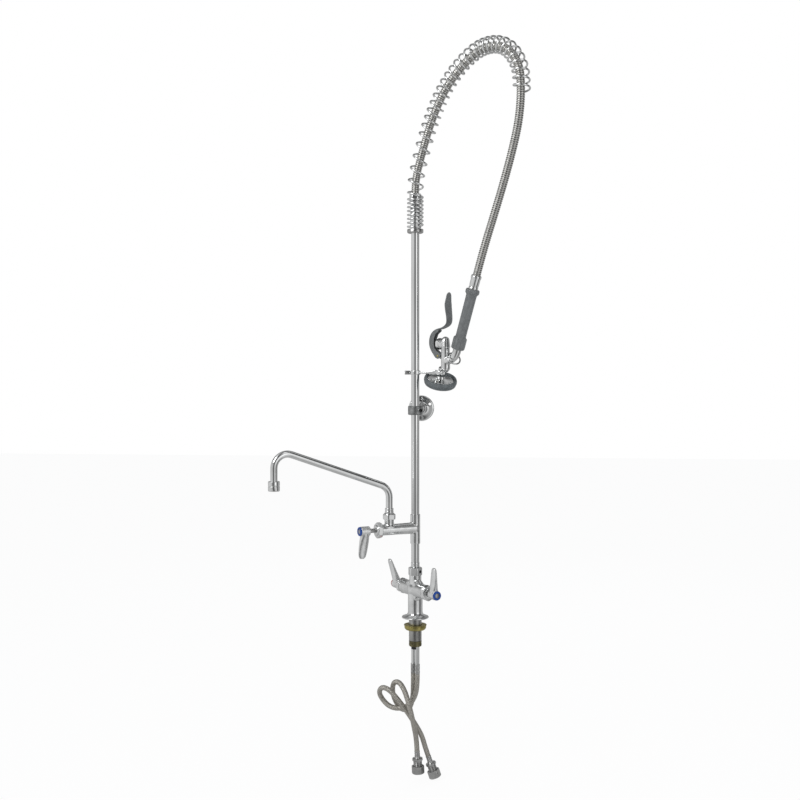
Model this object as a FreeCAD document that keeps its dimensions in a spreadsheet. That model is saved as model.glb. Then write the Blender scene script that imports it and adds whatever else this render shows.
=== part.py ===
import FreeCAD, Part
import math
import os
import re
from FreeCAD import Placement, Rotation, Vector

# Deck-mounted pre-rinse faucet with an add-on swing spout.
# Millimetres, +Z up, +Y towards the wall, origin on the deck under the riser's axis.

doc = FreeCAD.newDocument("pre_rinse_faucet")

# Driving dimensions: alias, value, what it is
SIZES = [
    # Gaps between pieces
    ("fit_gap", 0.1, "radial gap of threads and pushed-in pipes"),
    ("run_fit", 0.06, "radial gap of turning shafts"),
    ("end_gap", 0.3, "gap between faces that move past each other"),
    # Pipe and water way
    ("pipe_radius", 8.575, "outside radius of three-eighths pipe"),
    ("water_radius", 6.35, "radius of the water way"),
    ("thread_depth", 15, "length of pipe inside a fitting"),
    ("port_radius", 2.5, "radius of the small drilled ports"),
    # Base body
    ("flange_radius", 28.6, "deck flange"),
    ("flange_rim", 3, "height of the flange's upright rim"),
    ("flare_radius", 11, "concave sweep from flange to column"),
    ("column_radius", 15.5, "column"),
    ("barrel_height", 60, "axis of the cross barrel above the deck"),
    ("barrel_radius", 15, "cross barrel"),
    ("barrel_reach", 43, "half length of the cross barrel"),
    ("ball_radius", 17.5, "swelling where barrel and column meet"),
    ("shoulder_radius", 38, "foot of the sloping shoulders"),
    ("shoulder_rise", 26, "height of the sloping shoulders"),
    ("neck_radius", 12.8, "outlet neck"),
    ("neck_rise", 30, "top of the neck above the barrel's axis"),
    ("cold_turn", -52.4, "direction of the cold end"),
    ("shank_seat", 10, "shank's length inside the flange"),
    ("plug_turn", -69, "direction of the side plug"),
    ("plug_height", 46, "side plug above the deck"),
    ("plug_boss_radius", 5.8, "boss round the side plug"),
    ("plug_boss_reach", 17.4, "face of the plug's boss"),
    ("plug_radius", 4, "side plug"),
    ("plug_length", 6, "side plug's length inside the boss"),
    ("plug_head", 1, "side plug's head outside the boss"),
    # Mounting under the deck
    ("shank_radius", 13.5, "mounting shank"),
    ("shank_bore", 10.6, "bore of the shank"),
    ("shank_drop", 48.5, "shank below the deck flange"),
    ("deck_grip", 14.5, "room for the deck, flange to washer"),
    ("washer_radius", 24, "large washer"),
    ("washer_thick", 1.5, "large washer's thickness"),
    ("lock_nut_radius", 23, "lock nut at its top"),
    ("lock_nut_height", 9, "lock nut"),
    ("lock_nut_bevel", 2.4, "lock nut's bevel, measured inwards"),
    ("end_ring_height", 11.5, "end ring"),
    ("end_ring_bevel", 1.2, "end ring's chamfer"),
    ("end_ring_spigot", 6, "end ring's neck inside the shank"),
    ("spigot_radius", 12, "end ring's neck"),
    ("spacer_radius", 8.4, "plug between the supply tubes"),
    ("spacer_length", 10, "plug between the supply tubes"),
    ("spacer_start", 56, "top of that plug below the deck"),
    # Supply tubes and hose ends
    ("tube_radius", 4.75, "supply tube"),
    ("tube_bore", 3.4, "supply tube's bore"),
    ("tube_spread", 5.7, "each supply tube's distance from the axis"),
    ("tube_turn", -38.7, "direction of the cold supply tube"),
    ("tube_top", 48, "supply tubes' top above the deck"),
    ("tube_drop", 98, "top of the ferrules below the deck"),
    ("top_ferrule_radius", 5.5, "ferrule under each supply tube"),
    ("top_ferrule_length", 20.5, "ferrule under each supply tube"),
    ("supply_radius", 5.3, "braided supply hose"),
    ("supply_bore", 3, "bore of the supply hose"),
    ("supply_lead", 24, "straight hose under its upper ferrule"),
    ("end_ferrule_radius", 5.6, "ferrule at the hose's lower end"),
    ("end_ferrule_length", 15, "ferrule at the hose's lower end"),
    ("end_collar_radius", 11, "collar under that ferrule"),
    ("end_collar_height", 5, "collar under that ferrule"),
    ("end_thread_radius", 9.2, "threaded barrel under the collar"),
    ("end_thread_length", 11, "threaded barrel under the collar, outside the nut"),
    ("coupling_across", 24, "coupling nut across flats"),
    ("coupling_height", 15.6, "coupling nut"),
    ("coupling_bore", 10.4, "coupling nut's thread"),
    ("coupling_grip", 6, "threaded barrel's length inside the nut"),
    # Valve sets
    ("chamber_depth", 26, "bore for a cartridge"),
    ("cartridge_radius", 10, "base cartridges"),
    ("small_cartridge_radius", 8, "add-on cartridge"),
    ("cartridge_gap", 0.2, "radial gap round a cartridge"),
    ("bonnet_radius", 16.2, "bonnet nut over its corners"),
    ("bonnet_across", 29.6, "bonnet nut across flats"),
    ("bonnet_height", 13, "bonnet nut"),
    ("bonnet_bevel", 2, "bonnet nut's chamfer"),
    ("bonnet_plug", 8, "bonnet's thread inside the body"),
    ("stem_radius", 4.5, "valve stem"),
    ("stem_socket", 6.5, "stem inside the cartridge"),
    ("stem_show", 6, "stem between bonnet and handle, base"),
    ("long_stem_show", 14, "stem between bonnet and handle, add-on"),
    ("hub_radius", 9.8, "handle's hub"),
    ("hub_length", 20, "handle's hub"),
    ("hub_depth", 10.3, "stem's socket in the hub"),
    ("button_radius", 9.5, "index button"),
    ("button_rim", 2.2, "index button's straight edge"),
    ("button_dome", 1.8, "index button's dome"),
    ("button_screw_radius", 2.6, "index button's threaded stem"),
    ("button_screw_length", 6, "index button's threaded stem"),
    ("blade_place", 10, "lever blade's middle from the hub's inner face"),
    ("blade_reach", 56.5, "lever blade's tip from the axis"),
    ("blade_lean", 6, "lever blade's tip, further out along the stem than its root"),
    ("blade_root_broad", 18.8, "lever blade near the hub, along the stem"),
    ("blade_root_thick", 17.6, "lever blade near the hub, across the stem"),
    ("blade_broad", 20.6, "lever blade in the middle, along the stem"),
    ("blade_thick", 9.4, "lever blade in the middle, across the stem"),
    ("blade_tip_broad", 17.4, "lever blade near the tip, along the stem"),
    ("blade_tip_thick", 6, "lever blade near the tip, across the stem"),
    ("hot_open", 17, "how far the hot lever stands open"),
    ("cold_tilt", 4, "closed cold handle off the upright, as its stem was fitted"),
    # Riser and add-on faucet
    ("riser_nut_radius", 14.5, "riser nut over its rounded corners"),
    ("riser_nut_across", 26.6, "riser nut across flats"),
    ("riser_nut_height", 16.5, "riser nut"),
    ("set_screw_radius", 3.3, "set screws in the riser nut and the wall clamp"),
    ("nut_screw_turn", -34, "direction of the nut's set screw"),
    ("nipple_collar_radius", 9.25, "collar over the lower nipple"),
    ("nipple_collar_height", 10.5, "collar over the lower nipple"),
    ("add_on_height", 190, "axis of the add-on valve above the deck"),
    ("add_on_turn", 211.7, "direction of the add-on valve"),
    ("sleeve_radius", 10.25, "sleeve of the add-on body"),
    ("sleeve_below", 33, "sleeve below the valve's axis"),
    ("sleeve_above", 29, "sleeve above the valve's axis"),
    ("add_on_radius", 11.2, "add-on barrel"),
    ("add_on_reach", 80, "add-on barrel's end"),
    ("feed_radius", 5, "water way along the add-on barrel"),
    ("spout_place", 61, "spout's axis from the riser"),
    ("socket_radius", 11.25, "neck under the spout"),
    ("socket_bore", 7.4, "bore of that neck"),
    ("socket_rise", 26, "top of that neck above the valve's axis"),
    ("socket_depth", 14, "depth of that bore"),
    ("spout_nut_radius", 13.5, "spout nut over its rounded corners"),
    ("spout_nut_across", 25.4, "spout nut across flats"),
    ("spout_nut_height", 13, "spout nut"),
    ("spout_nut_grip", 4, "spout nut's length over the neck"),
    ("spout_nut_lip", 3.6, "spout nut's lip over the spout's flange"),
    ("spout_radius", 7.15, "spout tube"),
    ("spout_bore", 6, "bore of the spout tube"),
    ("spout_flange_radius", 9.6, "spout's hidden flange"),
    ("spout_ring_radius", 9, "ring on the spout above its nut"),
    ("spout_ring_height", 9.6, "ring on the spout above its nut"),
    ("spout_rise", 277.8, "corner above the spout's axis"),
    ("spout_peak", 367, "corner above the spout's outlet"),
    ("spout_reach", 254, "spout's reach"),
    ("spout_bend", 28, "bend radius of the spout"),
    ("outlet_radius", 11.8, "spout outlet"),
    ("outlet_top", 302, "top of the spout outlet"),
    ("outlet_height", 20, "spout outlet"),
    ("outlet_socket", 14, "spout tube's length inside the outlet"),
    ("outlet_bore", 8.5, "mouth of the outlet"),
    ("seal_wire", 0.55, "O-ring's section radius"),
    ("seal_radius", 6.75, "O-ring's middle radius"),
    ("seal_spacing", 4.4, "distance between the two O-rings"),
    ("riser_length", 617, "riser pipe"),
    # Wall bracket
    ("bracket_height", 439, "wall bracket above the deck"),
    ("wall_distance", 152.4, "wall from the riser's axis"),
    ("clamp_radius", 15.5, "clamp on the riser"),
    ("clamp_height", 19, "clamp on the riser"),
    ("clamp_bevel", 1.6, "clamp's chamfer"),
    ("clamp_boss_radius", 12, "clamp's boss towards the wall"),
    ("clamp_boss_reach", 26, "clamp's boss towards the wall"),
    ("clamp_screw_turn", -42, "direction of the clamp screw"),
    ("clamp_screw_reach", 20, "clamp screw's outer end"),
    ("wall_flange_radius", 28.8, "wall flange"),
    ("wall_flange_rim", 3, "wall flange's rim"),
    ("wall_hub_radius", 12.4, "wall flange's hub"),
    ("wall_hub_length", 12, "wall flange's hub"),
    ("wall_screw_circle", 21.5, "wall screw holes from the middle"),
    ("wall_screw_radius", 3.25, "wall screw holes"),
    ("wall_screw_turn", 26, "tilt of the two wall screw holes"),
    # Finger hook
    ("hook_height", 519, "finger hook above the deck"),
    ("hook_turn", -11.2, "direction of the finger hook"),
    ("hook_ring_radius", 10.7, "hook's ring on the riser"),
    ("hook_ring_height", 9, "hook's ring on the riser"),
    ("hook_reach", 57.7, "neck that hangs in the hook, from the riser"),
    ("hook_inside", 11, "inside radius of the hook's finger"),
    ("hook_thick", 3.2, "thickness of the hook's arm and finger"),
    ("hook_stem_height", 4.3, "hook's arm near the ring"),
    ("hook_leaf_height", 10, "hook's arm at the finger"),
    ("hook_sweep", 117, "how far the finger goes round"),
    ("hook_tip_radius", 4, "round end of the finger"),
    ("hook_tip_drop", 1.2, "round end below the arm's middle"),
    ("hook_screw_turn", 186, "direction of the hook's thumb screw"),
    ("hook_screw_radius", 4.3, "thumb screw"),
    ("hook_screw_reach", 22.7, "outer end of the thumb screw"),
    ("hook_screw_stem", 2.2, "thumb screw's threaded stem"),
    # Top of the riser
    ("spring_radius", 16.4, "middle of the spring's wire"),
    ("spring_wire", 1.6, "radius of the spring's wire"),
    ("spring_collar_radius", 17.2, "collar under the spring"),
    ("spring_collar_height", 8.5, "collar under the spring"),
    ("spring_collar_lift", 2, "collar's top above the riser pipe"),
    ("adapter_radius", 10.5, "hose adapter"),
    ("adapter_length", 59, "hose adapter up to its hexagon"),
    ("adapter_bore", 4, "bore of the hose adapter"),
    ("adapter_hex", 23, "hexagon at the hose, across flats"),
    ("adapter_hex_height", 18, "hexagon at the hose"),
    ("adapter_spigot", 16, "adapter's length inside the riser pipe"),
    # Spray hose
    ("hose_radius", 8.4, "spray hose over its ribs"),
    ("hose_groove", 0.75, "depth of the grooves between the ribs"),
    ("hose_bore", 5, "bore of the spray hose"),
    # Spray valve
    ("valve_x", 65.06, "middle of the valve body"),
    ("valve_y", -14.38, "middle of the valve body"),
    ("valve_lift", 35, "reference height of the valve above the hook"),
    ("valve_turn", 141, "direction in which the lever lies"),
    ("grip_back", 33.8, "foot of the grip behind the valve body"),
    ("grip_lift", 14, "foot of the grip above the reference"),
    ("grip_lean", 19.4, "lean of the grip"),
    ("grip_collar_radius", 14.35, "faceted collar at the grip's foot"),
    ("grip_collar_length", 25.7, "faceted collar at the grip's foot"),
    ("grip_radius", 11, "grip"),
    ("grip_length", 119, "grip up to its upper flange"),
    ("grip_flange_radius", 14.6, "grip's upper flange"),
    ("grip_flange_length", 10, "grip's upper flange"),
    ("grip_tube_radius", 7.2, "tube inside the grip"),
    ("grip_tube_bore", 4.5, "bore of the tube inside the grip"),
    ("hose_sleeve_radius", 10, "sleeve on the spray hose"),
    ("hose_sleeve_length", 29.7, "sleeve on the spray hose"),
    ("hose_tail", 8, "hose inside its sleeve"),
    ("hose_lead", 52, "straight hose above its sleeve"),
    ("hook_drop", 379, "hook below the hose's foot, as the hose's route was chosen"),
    ("body_top_radius", 8.4, "valve body at its top"),
    ("body_foot_radius", 9.5, "valve body at its foot"),
    ("body_top", 32, "valve body above the reference"),
    ("body_foot", 25, "valve body below the reference"),
    ("elbow_radius", 8.5, "elbow to the grip"),
    ("elbow_run", 13, "elbow's run in line with the grip"),
    ("elbow_low_back", 17, "elbow's lower corner behind the body's axis"),
    ("elbow_low_drop", 7.5, "elbow's lower corner below the reference"),
    ("elbow_root_drop", 11, "where the elbow's middle meets the body's axis, below the reference"),
    ("plunger_height", 25.7, "plunger's axis above the reference"),
    ("boss_radius", 11, "boss for the valve bonnet"),
    ("boss_reach", 12, "face of that boss"),
    ("valve_bore", 7.4, "bore for the bonnet's thread"),
    ("valve_bore_depth", 17, "depth of that bore"),
    ("valve_bonnet_across", 22, "valve bonnet across flats"),
    ("valve_bonnet_height", 9.4, "valve bonnet"),
    ("valve_bonnet_thread", 9, "bonnet's thread inside the boss"),
    ("plunger_radius", 2.6, "plunger"),
    ("plunger_tip", 38.6, "plunger's tip from the body's axis"),
    ("plunger_travel", 5.6, "how far the plunger is pushed"),
    ("return_wire", 0.45, "return spring's wire radius"),
    ("return_radius", 4, "return spring's middle radius"),
    ("return_coils", 4, "return spring's turns"),
    ("seat_radius", 5.6, "seat washer"),
    ("seat_thick", 1.6, "seat washer's thickness"),
    ("pin_place", 17.5, "lever pin from the body's axis"),
    ("pin_lift", 0.4, "lever pin above the reference"),
    ("pin_radius", 2.35, "lever pin"),
    ("lug_half_width", 3.5, "half width of the lug that holds the pin"),
    ("lug_radius", 4.8, "lug round the pin"),
    ("channel_inside", 4, "half width inside the lever's channel"),
    ("channel_outside", 5.6, "half width outside the lever's channel"),
    ("strap_thick", 2.6, "thickness of the lever's strap"),
    ("ear_radius", 6.5, "lever's ears round the pin"),
    ("pin_show", 1.2, "lever pin outside each ear"),
    ("ring_wire", 1.7, "hold-down ring's wire radius"),
    ("ring_radius", 14, "hold-down ring's middle radius"),
    ("ring_back", 22.5, "where the ring goes round the elbow, behind the body's axis"),
    ("ring_drop", 3.3, "where the ring goes round the elbow, below the reference"),
    ("ring_aside", 20, "how far the ring is turned aside"),
    ("ring_lean", 125, "the ring's axis from upright"),
    # Spray head
    ("head_x", 13.4, "head's rim from the body's axis"),
    ("head_drop", 46, "head's rim below the reference"),
    ("head_turn", -31.1, "direction in which the head leans"),
    ("head_tilt", 153.1, "angle of the spray's axis from upright"),
    ("head_neck_radius", 7, "neck of the spray head"),
    ("bumper_radius", 35, "bumper"),
    ("bumper_height", 15.5, "bumper"),
    ("bumper_top_bore", 29.6, "bumper's upper bore"),
    ("bumper_lip_bore", 27.6, "bumper's lower bore"),
    ("bumper_lip", 6.5, "height of that lower bore"),
    ("bumper_round", 5, "bumper's rounded lower edge"),
    ("plate_radius", 29.3, "back plate"),
    ("plate_top", 4, "back plate below the bumper's rim"),
    ("plate_thick", 4.6, "back plate"),
    ("dome_lift", 0.6, "back plate's dome above the bumper's rim"),
    ("face_thick", 2.2, "spray face"),
    ("face_hole_radius", 0.9, "spray holes"),
    ("face_screw_radius", 2, "screw in the middle of the face"),
    ("face_screw_head", 4.5, "that screw's head"),
]

# Heights and places that follow from the driving dimensions: alias, formula
LEVELS = [
    ("hot_turn", "cold_turn + 180"),
    ("neck_top", "barrel_height + neck_rise"),
    ("nipple_foot", "neck_top - thread_depth"),
    ("riser_nut_top", "neck_top + riser_nut_height"),
    ("add_on_foot", "add_on_height - sleeve_below"),
    ("add_on_top", "add_on_height + sleeve_above"),
    ("nipple_top", "add_on_foot + thread_depth"),
    ("riser_foot", "add_on_top - thread_depth"),
    ("riser_top", "riser_foot + riser_length"),
    ("spring_foot", "riser_top + spring_collar_lift"),
    ("spring_collar_foot", "spring_foot - spring_collar_height"),
    ("hex_foot", "riser_top + adapter_length"),
    ("hose_foot", "hex_foot + adapter_hex_height"),
    ("socket_top", "add_on_height + socket_rise"),
    ("socket_floor", "socket_top - socket_depth"),
    ("spout_nut_foot", "socket_top - spout_nut_grip"),
    ("spout_nut_top", "spout_nut_foot + spout_nut_height"),
    ("spout_ring_foot", "spout_nut_top + end_gap"),
    ("chamber_floor", "barrel_reach - chamber_depth"),
    ("add_on_chamber_floor", "add_on_reach - chamber_depth"),
    ("clamp_foot", "bracket_height - clamp_height / 2"),
    ("washer_foot", "-(deck_grip + washer_thick)"),
    ("lock_nut_foot", "washer_foot - lock_nut_height"),
    ("end_ring_foot", "-(shank_drop + end_ring_height)"),
    ("hex_factor", "1 / cos(30)"),
    ("outlet_foot", "outlet_top - outlet_height"),
    ("grip_top", "grip_length + grip_flange_length"),
    ("sleeve_end", "grip_top + hose_sleeve_length"),
    ("valve_z", "hook_height + valve_lift"),
]


def make_sheet(name, rows, formulas):
    """A spreadsheet with one alias on each row."""
    sheet = doc.addObject("Spreadsheet::Sheet", name)
    for row, entry in enumerate(rows, start=1):
        sheet.set("A%d" % row, entry[0])
        sheet.set("B%d" % row, "=" + linked(entry[1]) if formulas else str(entry[1]))
        sheet.setAlias("B%d" % row, entry[0])
        if len(entry) > 2:
            sheet.set("C%d" % row, entry[2])
    doc.recompute()
    return sheet


sheet_of = {entry[0]: "Sizes." for entry in SIZES}


def linked(formula):
    """Put the sheet's name before each alias in a formula."""
    return re.sub(r"[a-z_]+", lambda found: sheet_of.get(found.group(0), "") + found.group(0), str(formula))


sizes = make_sheet("Sizes", SIZES, False)
levels = doc.addObject("Spreadsheet::Sheet", "Levels")
for level_row, (level_name, level_formula) in enumerate(LEVELS, start=1):
    levels.set("A%d" % level_row, level_name)
    levels.set("B%d" % level_row, "=" + linked(level_formula).replace("Levels.", ""))
    levels.setAlias("B%d" % level_row, level_name)
    sheet_of[level_name] = "Levels."
doc.recompute()


def size(name):
    """The number that a sheet holds under an alias."""
    return float(sizes.get(name) if sheet_of[name] == "Sizes." else levels.get(name))


# Helpers for frames, primitives and booleans


def place(x=0, y=0, z=0, about="z", angle=0):
    """The formula of a placement: a shift and a turn about one axis."""
    axis = {"x": "1; 0; 0", "y": "0; 1; 0", "z": "0; 0; 1"}[about]
    return "placement(vector(%s; %s; %s); rotation(vector(%s); %s))" % (x, y, z, axis, angle)


def bind(item, **formulas):
    """Tie an object's properties to formulas."""
    for name, formula in formulas.items():
        item.setExpression(name, linked(formula))
    return item


def primitive(kind, name, frame, foot, **formulas):
    """A Part primitive on a frame's own axis."""
    item = doc.addObject("Part::" + kind, name)
    return bind(item, Placement=frame + " * " + place(z=foot), **formulas)


def cylinder(name, frame, foot, length, radius):
    return primitive("Cylinder", name, frame, foot, Height=length, Radius=radius)


def cone(name, frame, foot, length, low, high):
    return primitive("Cone", name, frame, foot, Height=length, Radius1=low, Radius2=high)


def sphere(name, frame, middle, radius):
    return primitive("Sphere", name, frame, middle, Radius=radius)


def torus(name, frame, middle, ring, wire):
    return primitive("Torus", name, frame, middle, Radius1=ring, Radius2=wire)


def hexagon(name, frame, foot, length, across):
    item = primitive("Prism", name, frame, foot, Height=length, Circumradius="(%s) / 2 * hex_factor" % across)
    item.Polygon = 6
    return item


def box(name, frame, low, length, width, height):
    item = doc.addObject("Part::Box", name)
    corner = place(*low)
    return bind(item, Placement=frame + " * " + corner, Length=length, Width=width, Height=height)


def fuse(name, *items):
    item = doc.addObject("Part::MultiFuse", name)
    item.Shapes = list(items)
    item.Refine = True
    return item


def common(name, *items):
    item = doc.addObject("Part::MultiCommon", name)
    item.Shapes = list(items)
    item.Refine = True
    return item


def cut(name, base, *tools):
    """Take tools away one after the other; the last result carries the name."""
    for number, tool in enumerate(tools):
        last = number == len(tools) - 1
        item = doc.addObject("Part::Cut", name if last else "%s_step_%d" % (name, number))
        item.Base = base
        item.Tool = tool
        item.Refine = last
        base = item
    return base


def group(name, *items):
    item = doc.addObject("Part::Compound", name)
    item.Links = list(items)
    return item


def shaped(name, shape, frame=None):
    """A solid worked out below, set at a frame."""
    item = doc.addObject("Part::Feature", name)
    item.Shape = shape
    if frame:
        bind(item, Placement=frame)
    return item


nodes = []


def node(item):
    """Mark an object as one finished piece."""
    item.Label = item.Name
    nodes.append(item)
    return item


def beveled(name, frame, foot, length, radius, bevel):
    """A short cylinder with both ends chamfered."""
    body = cylinder(name + "_drum", frame, foot + " + " + bevel, "%s - 2 * (%s)" % (length, bevel), radius)
    low = cone(name + "_low", frame, foot, bevel, "%s - (%s)" % (radius, bevel), radius)
    high = cone(name + "_high", frame, "%s + %s - (%s)" % (foot, length, bevel), bevel,
                radius, "%s - (%s)" % (radius, bevel))
    return fuse(name, low, body, high)


def rounded_hexagon(name, frame, foot, length, across, radius, bevel):
    """A hexagon nut whose corners are turned off."""
    flats = hexagon(name + "_flats", frame, foot, length, across)
    turned = beveled(name + "_turned", frame, foot, length, radius, bevel)
    return common(name, flats, turned)


# Frames
UPRIGHT = place()


def outward(height, turn):
    """Z points level and outwards, X points down."""
    return place(z=height, angle=turn) + " * " + place(about="y", angle=90)


COLD = outward("barrel_height", "cold_turn")
HOT = outward("barrel_height", "hot_turn")
ADD_ON = outward("add_on_height", "add_on_turn")
SPOUT = place("spout_place * cos(add_on_turn)", "spout_place * sin(add_on_turn)", 0, angle="add_on_turn")
WALL = place(z="bracket_height") + " * " + place(about="x", angle=-90)
HOOK = place(z="hook_height", angle="hook_turn")
VALVE = place("valve_x", "valve_y", "valve_z", angle="valve_turn")
GRIP = VALVE + " * " + place("-grip_back", 0, "grip_lift", about="y", angle="-grip_lean")
PLUNGER = VALVE + " * " + place(z="plunger_height", about="y", angle=90)
HEAD = (VALVE + " * " + place("head_x", 0, "-head_drop", angle="head_turn")
        + " * " + place(about="y", angle="head_tilt"))

# Base body
base_solid = fuse(
    "base_blank",
    cylinder("base_flange", UPRIGHT, 0, "flange_rim", "flange_radius"),
    cut("base_flare",
        cylinder("base_flare_blank", UPRIGHT, "flange_rim", "flare_radius", "column_radius + flare_radius"),
        torus("base_flare_sweep", UPRIGHT, "flange_rim + flare_radius", "column_radius + flare_radius",
              "flare_radius")),
    cylinder("base_column", UPRIGHT, 0, "barrel_height", "column_radius"),
    cylinder("base_barrel", COLD, "-barrel_reach", "2 * barrel_reach", "barrel_radius"),
    sphere("base_ball", UPRIGHT, "barrel_height", "ball_radius"),
    cylinder("base_neck", UPRIGHT, "barrel_height", "neck_rise", "neck_radius"),
    common("base_shoulders",
           cone("base_shoulder_cone", UPRIGHT, "barrel_height", "shoulder_rise", "shoulder_radius", "neck_radius"),
           box("base_shoulder_web", place(z="barrel_height", angle="cold_turn"),
               ("-shoulder_radius", "-neck_radius", 0), "2 * shoulder_radius", "2 * neck_radius",
               "shoulder_rise")),
    cylinder("base_plug_boss", outward("plug_height", "plug_turn"), 0, "plug_boss_reach", "plug_boss_radius"),
)


def tube_frame(side):
    return place("%s * tube_spread * cos(tube_turn)" % side, "%s * tube_spread * sin(tube_turn)" % side, 0)


node(cut(
    "base_body", base_solid,
    cylinder("base_shank_seat", UPRIGHT, 0, "shank_seat", "shank_radius + fit_gap"),
    cylinder("base_nipple_bore", UPRIGHT, "nipple_foot", "thread_depth", "pipe_radius + fit_gap"),
    cylinder("base_water_way", UPRIGHT, "barrel_height + port_radius", "neck_rise - thread_depth - port_radius",
             "water_radius"),
    cylinder("base_cold_chamber", COLD, "chamber_floor", "chamber_depth", "cartridge_radius + cartridge_gap"),
    cylinder("base_hot_chamber", HOT, "chamber_floor", "chamber_depth", "cartridge_radius + cartridge_gap"),
    cylinder("base_cold_tube_hole", tube_frame(1), 0, "tube_top + 2 * port_radius", "tube_radius + fit_gap"),
    cylinder("base_hot_tube_hole", tube_frame(-1), 0, "tube_top + 2 * port_radius", "tube_radius + fit_gap"),
    cylinder("base_cold_inlet", COLD + " * " + place(x="3 * port_radius"), "port_radius", "chamber_floor",
             "port_radius"),
    cylinder("base_hot_inlet", HOT + " * " + place(x="3 * port_radius"), "port_radius", "chamber_floor",
             "port_radius"),
    cylinder("base_outlets", COLD + " * " + place(x="-3 * port_radius"), "-(chamber_floor + port_radius)",
             "2 * (chamber_floor + port_radius)", "port_radius"),
    cylinder("base_plug_hole", outward("plug_height", "plug_turn"), "plug_boss_reach - plug_length",
             "plug_length + 2 * plug_radius", "plug_radius + fit_gap / 2"),
))

plug_frame = outward("plug_height", "plug_turn")
node(fuse(
    "base_side_plug",
    cylinder("side_plug_thread", plug_frame, "plug_boss_reach - plug_length", "plug_length",
             "plug_radius - fit_gap"),
    cone("side_plug_head", plug_frame, "plug_boss_reach", "plug_head", "plug_radius", "plug_radius - plug_head"),
))

# Mounting parts under the deck
node(cut(
    "mounting_shank",
    cylinder("shank_blank", UPRIGHT, "-shank_drop", "shank_drop + shank_seat", "shank_radius"),
    cylinder("shank_hole", UPRIGHT, "-shank_drop", "shank_drop + shank_seat", "shank_bore"),
    cylinder("shank_spigot_hole", UPRIGHT, "-shank_drop", "end_ring_spigot + end_gap", "spigot_radius + fit_gap"),
))
node(cut(
    "shank_washer",
    cylinder("washer_blank", UPRIGHT, "washer_foot", "washer_thick", "washer_radius"),
    cylinder("washer_hole", UPRIGHT, "washer_foot", "washer_thick", "shank_radius + end_gap"),
))
node(cut(
    "shank_lock_nut",
    fuse("lock_nut_blank",
         cone("lock_nut_bevel_cone", UPRIGHT, "lock_nut_foot", "lock_nut_bevel", "lock_nut_radius - lock_nut_bevel",
              "lock_nut_radius"),
         cylinder("lock_nut_drum", UPRIGHT, "lock_nut_foot + lock_nut_bevel", "lock_nut_height - lock_nut_bevel",
                  "lock_nut_radius")),
    cylinder("lock_nut_hole", UPRIGHT, "lock_nut_foot", "lock_nut_height", "shank_radius + fit_gap"),
))
node(cut(
    "shank_end_ring",
    fuse("end_ring_blank",
         cone("end_ring_chamfer", UPRIGHT, "end_ring_foot", "end_ring_bevel", "shank_radius - end_ring_bevel",
              "shank_radius"),
         cylinder("end_ring_drum", UPRIGHT, "end_ring_foot + end_ring_bevel", "end_ring_height - end_ring_bevel",
                  "shank_radius"),
         cylinder("end_ring_neck", UPRIGHT, "-shank_drop", "end_ring_spigot", "spigot_radius")),
    cylinder("end_ring_hole", UPRIGHT, "end_ring_foot", "end_ring_height + end_ring_spigot", "shank_bore"),
))
node(cut(
    "shank_plug",
    cylinder("spacer_blank", UPRIGHT, "-(spacer_start + spacer_length)", "spacer_length", "spacer_radius"),
    cylinder("spacer_cold_hole", tube_frame(1), "-(spacer_start + spacer_length)", "spacer_length",
             "tube_radius + fit_gap"),
    cylinder("spacer_hot_hole", tube_frame(-1), "-(spacer_start + spacer_length)", "spacer_length",
             "tube_radius + fit_gap"),
))


def supply_tube(side, name):
    """A supply tube from inside the base down into its ferrule."""
    foot = "-(tube_drop + top_ferrule_length / 2)"
    length = "tube_top + tube_drop + top_ferrule_length / 2"
    return cut(name,
               cylinder(name + "_blank", tube_frame(side), foot, length, "tube_radius"),
               cylinder(name + "_bore", tube_frame(side), foot, length, "tube_bore"))


def top_ferrule(side, name):
    """The ferrule that joins a supply tube to its hose."""
    foot = "-(tube_drop + top_ferrule_length)"
    return cut(name,
               cylinder(name + "_blank", tube_frame(side), foot, "top_ferrule_length", "top_ferrule_radius"),
               cylinder(name + "_socket", tube_frame(side), "-(tube_drop + top_ferrule_length / 2)",
                        "top_ferrule_length / 2", "tube_radius + fit_gap"),
               cylinder(name + "_bore", tube_frame(side), foot, "top_ferrule_length", "supply_bore"))


node(group("supply_tubes", supply_tube(1, "cold_tube"), supply_tube(-1, "hot_tube")))
node(group("hose_top_ferrules", top_ferrule(1, "cold_top_ferrule"), top_ferrule(-1, "hot_top_ferrule")))


# Valve sets: two on the base, one on the add-on body
def lever_blade(name, frame, turn):
    """A lever blade: ellipses, broad along the stem, that grow thin and lean outwards towards the tip."""
    stand = frame + " * " + place(z="blade_place", angle=turn) + " * " + place(about="y", angle=-90)
    stations = [
        ("hub_radius / 2", "blade_root_broad", "blade_root_thick", 0),
        ("hub_radius * 1.2", "blade_broad * 0.95", "blade_root_thick * 0.86", 0.05),
        ("blade_reach * 0.35", "blade_broad", "blade_thick * 1.35", 0.2),
        ("blade_reach * 0.62", "blade_broad * 0.98", "blade_thick * 0.92", 0.55),
        ("blade_reach * 0.88", "blade_tip_broad", "blade_tip_thick", 0.9),
        ("blade_reach * 0.97", "blade_tip_broad * 0.78", "blade_tip_thick * 0.85", 0.97),
        ("blade_reach", "blade_tip_broad * 0.45", "blade_tip_thick * 0.6", 1),
    ]
    rings = []
    for number, (height, broad, thick, share) in enumerate(stations):
        ring = doc.addObject("Part::Ellipse", "%s_section_%d" % (name, number))
        bind(ring, Placement=stand + " * " + place(x="blade_lean * %s" % share, z=height),
             MajorRadius="(%s) / 2" % broad, MinorRadius="(%s) / 2" % thick)
        rings.append(ring)
    blade = doc.addObject("Part::Loft", name)
    blade.Sections = rings
    blade.Solid = True
    return blade


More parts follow.
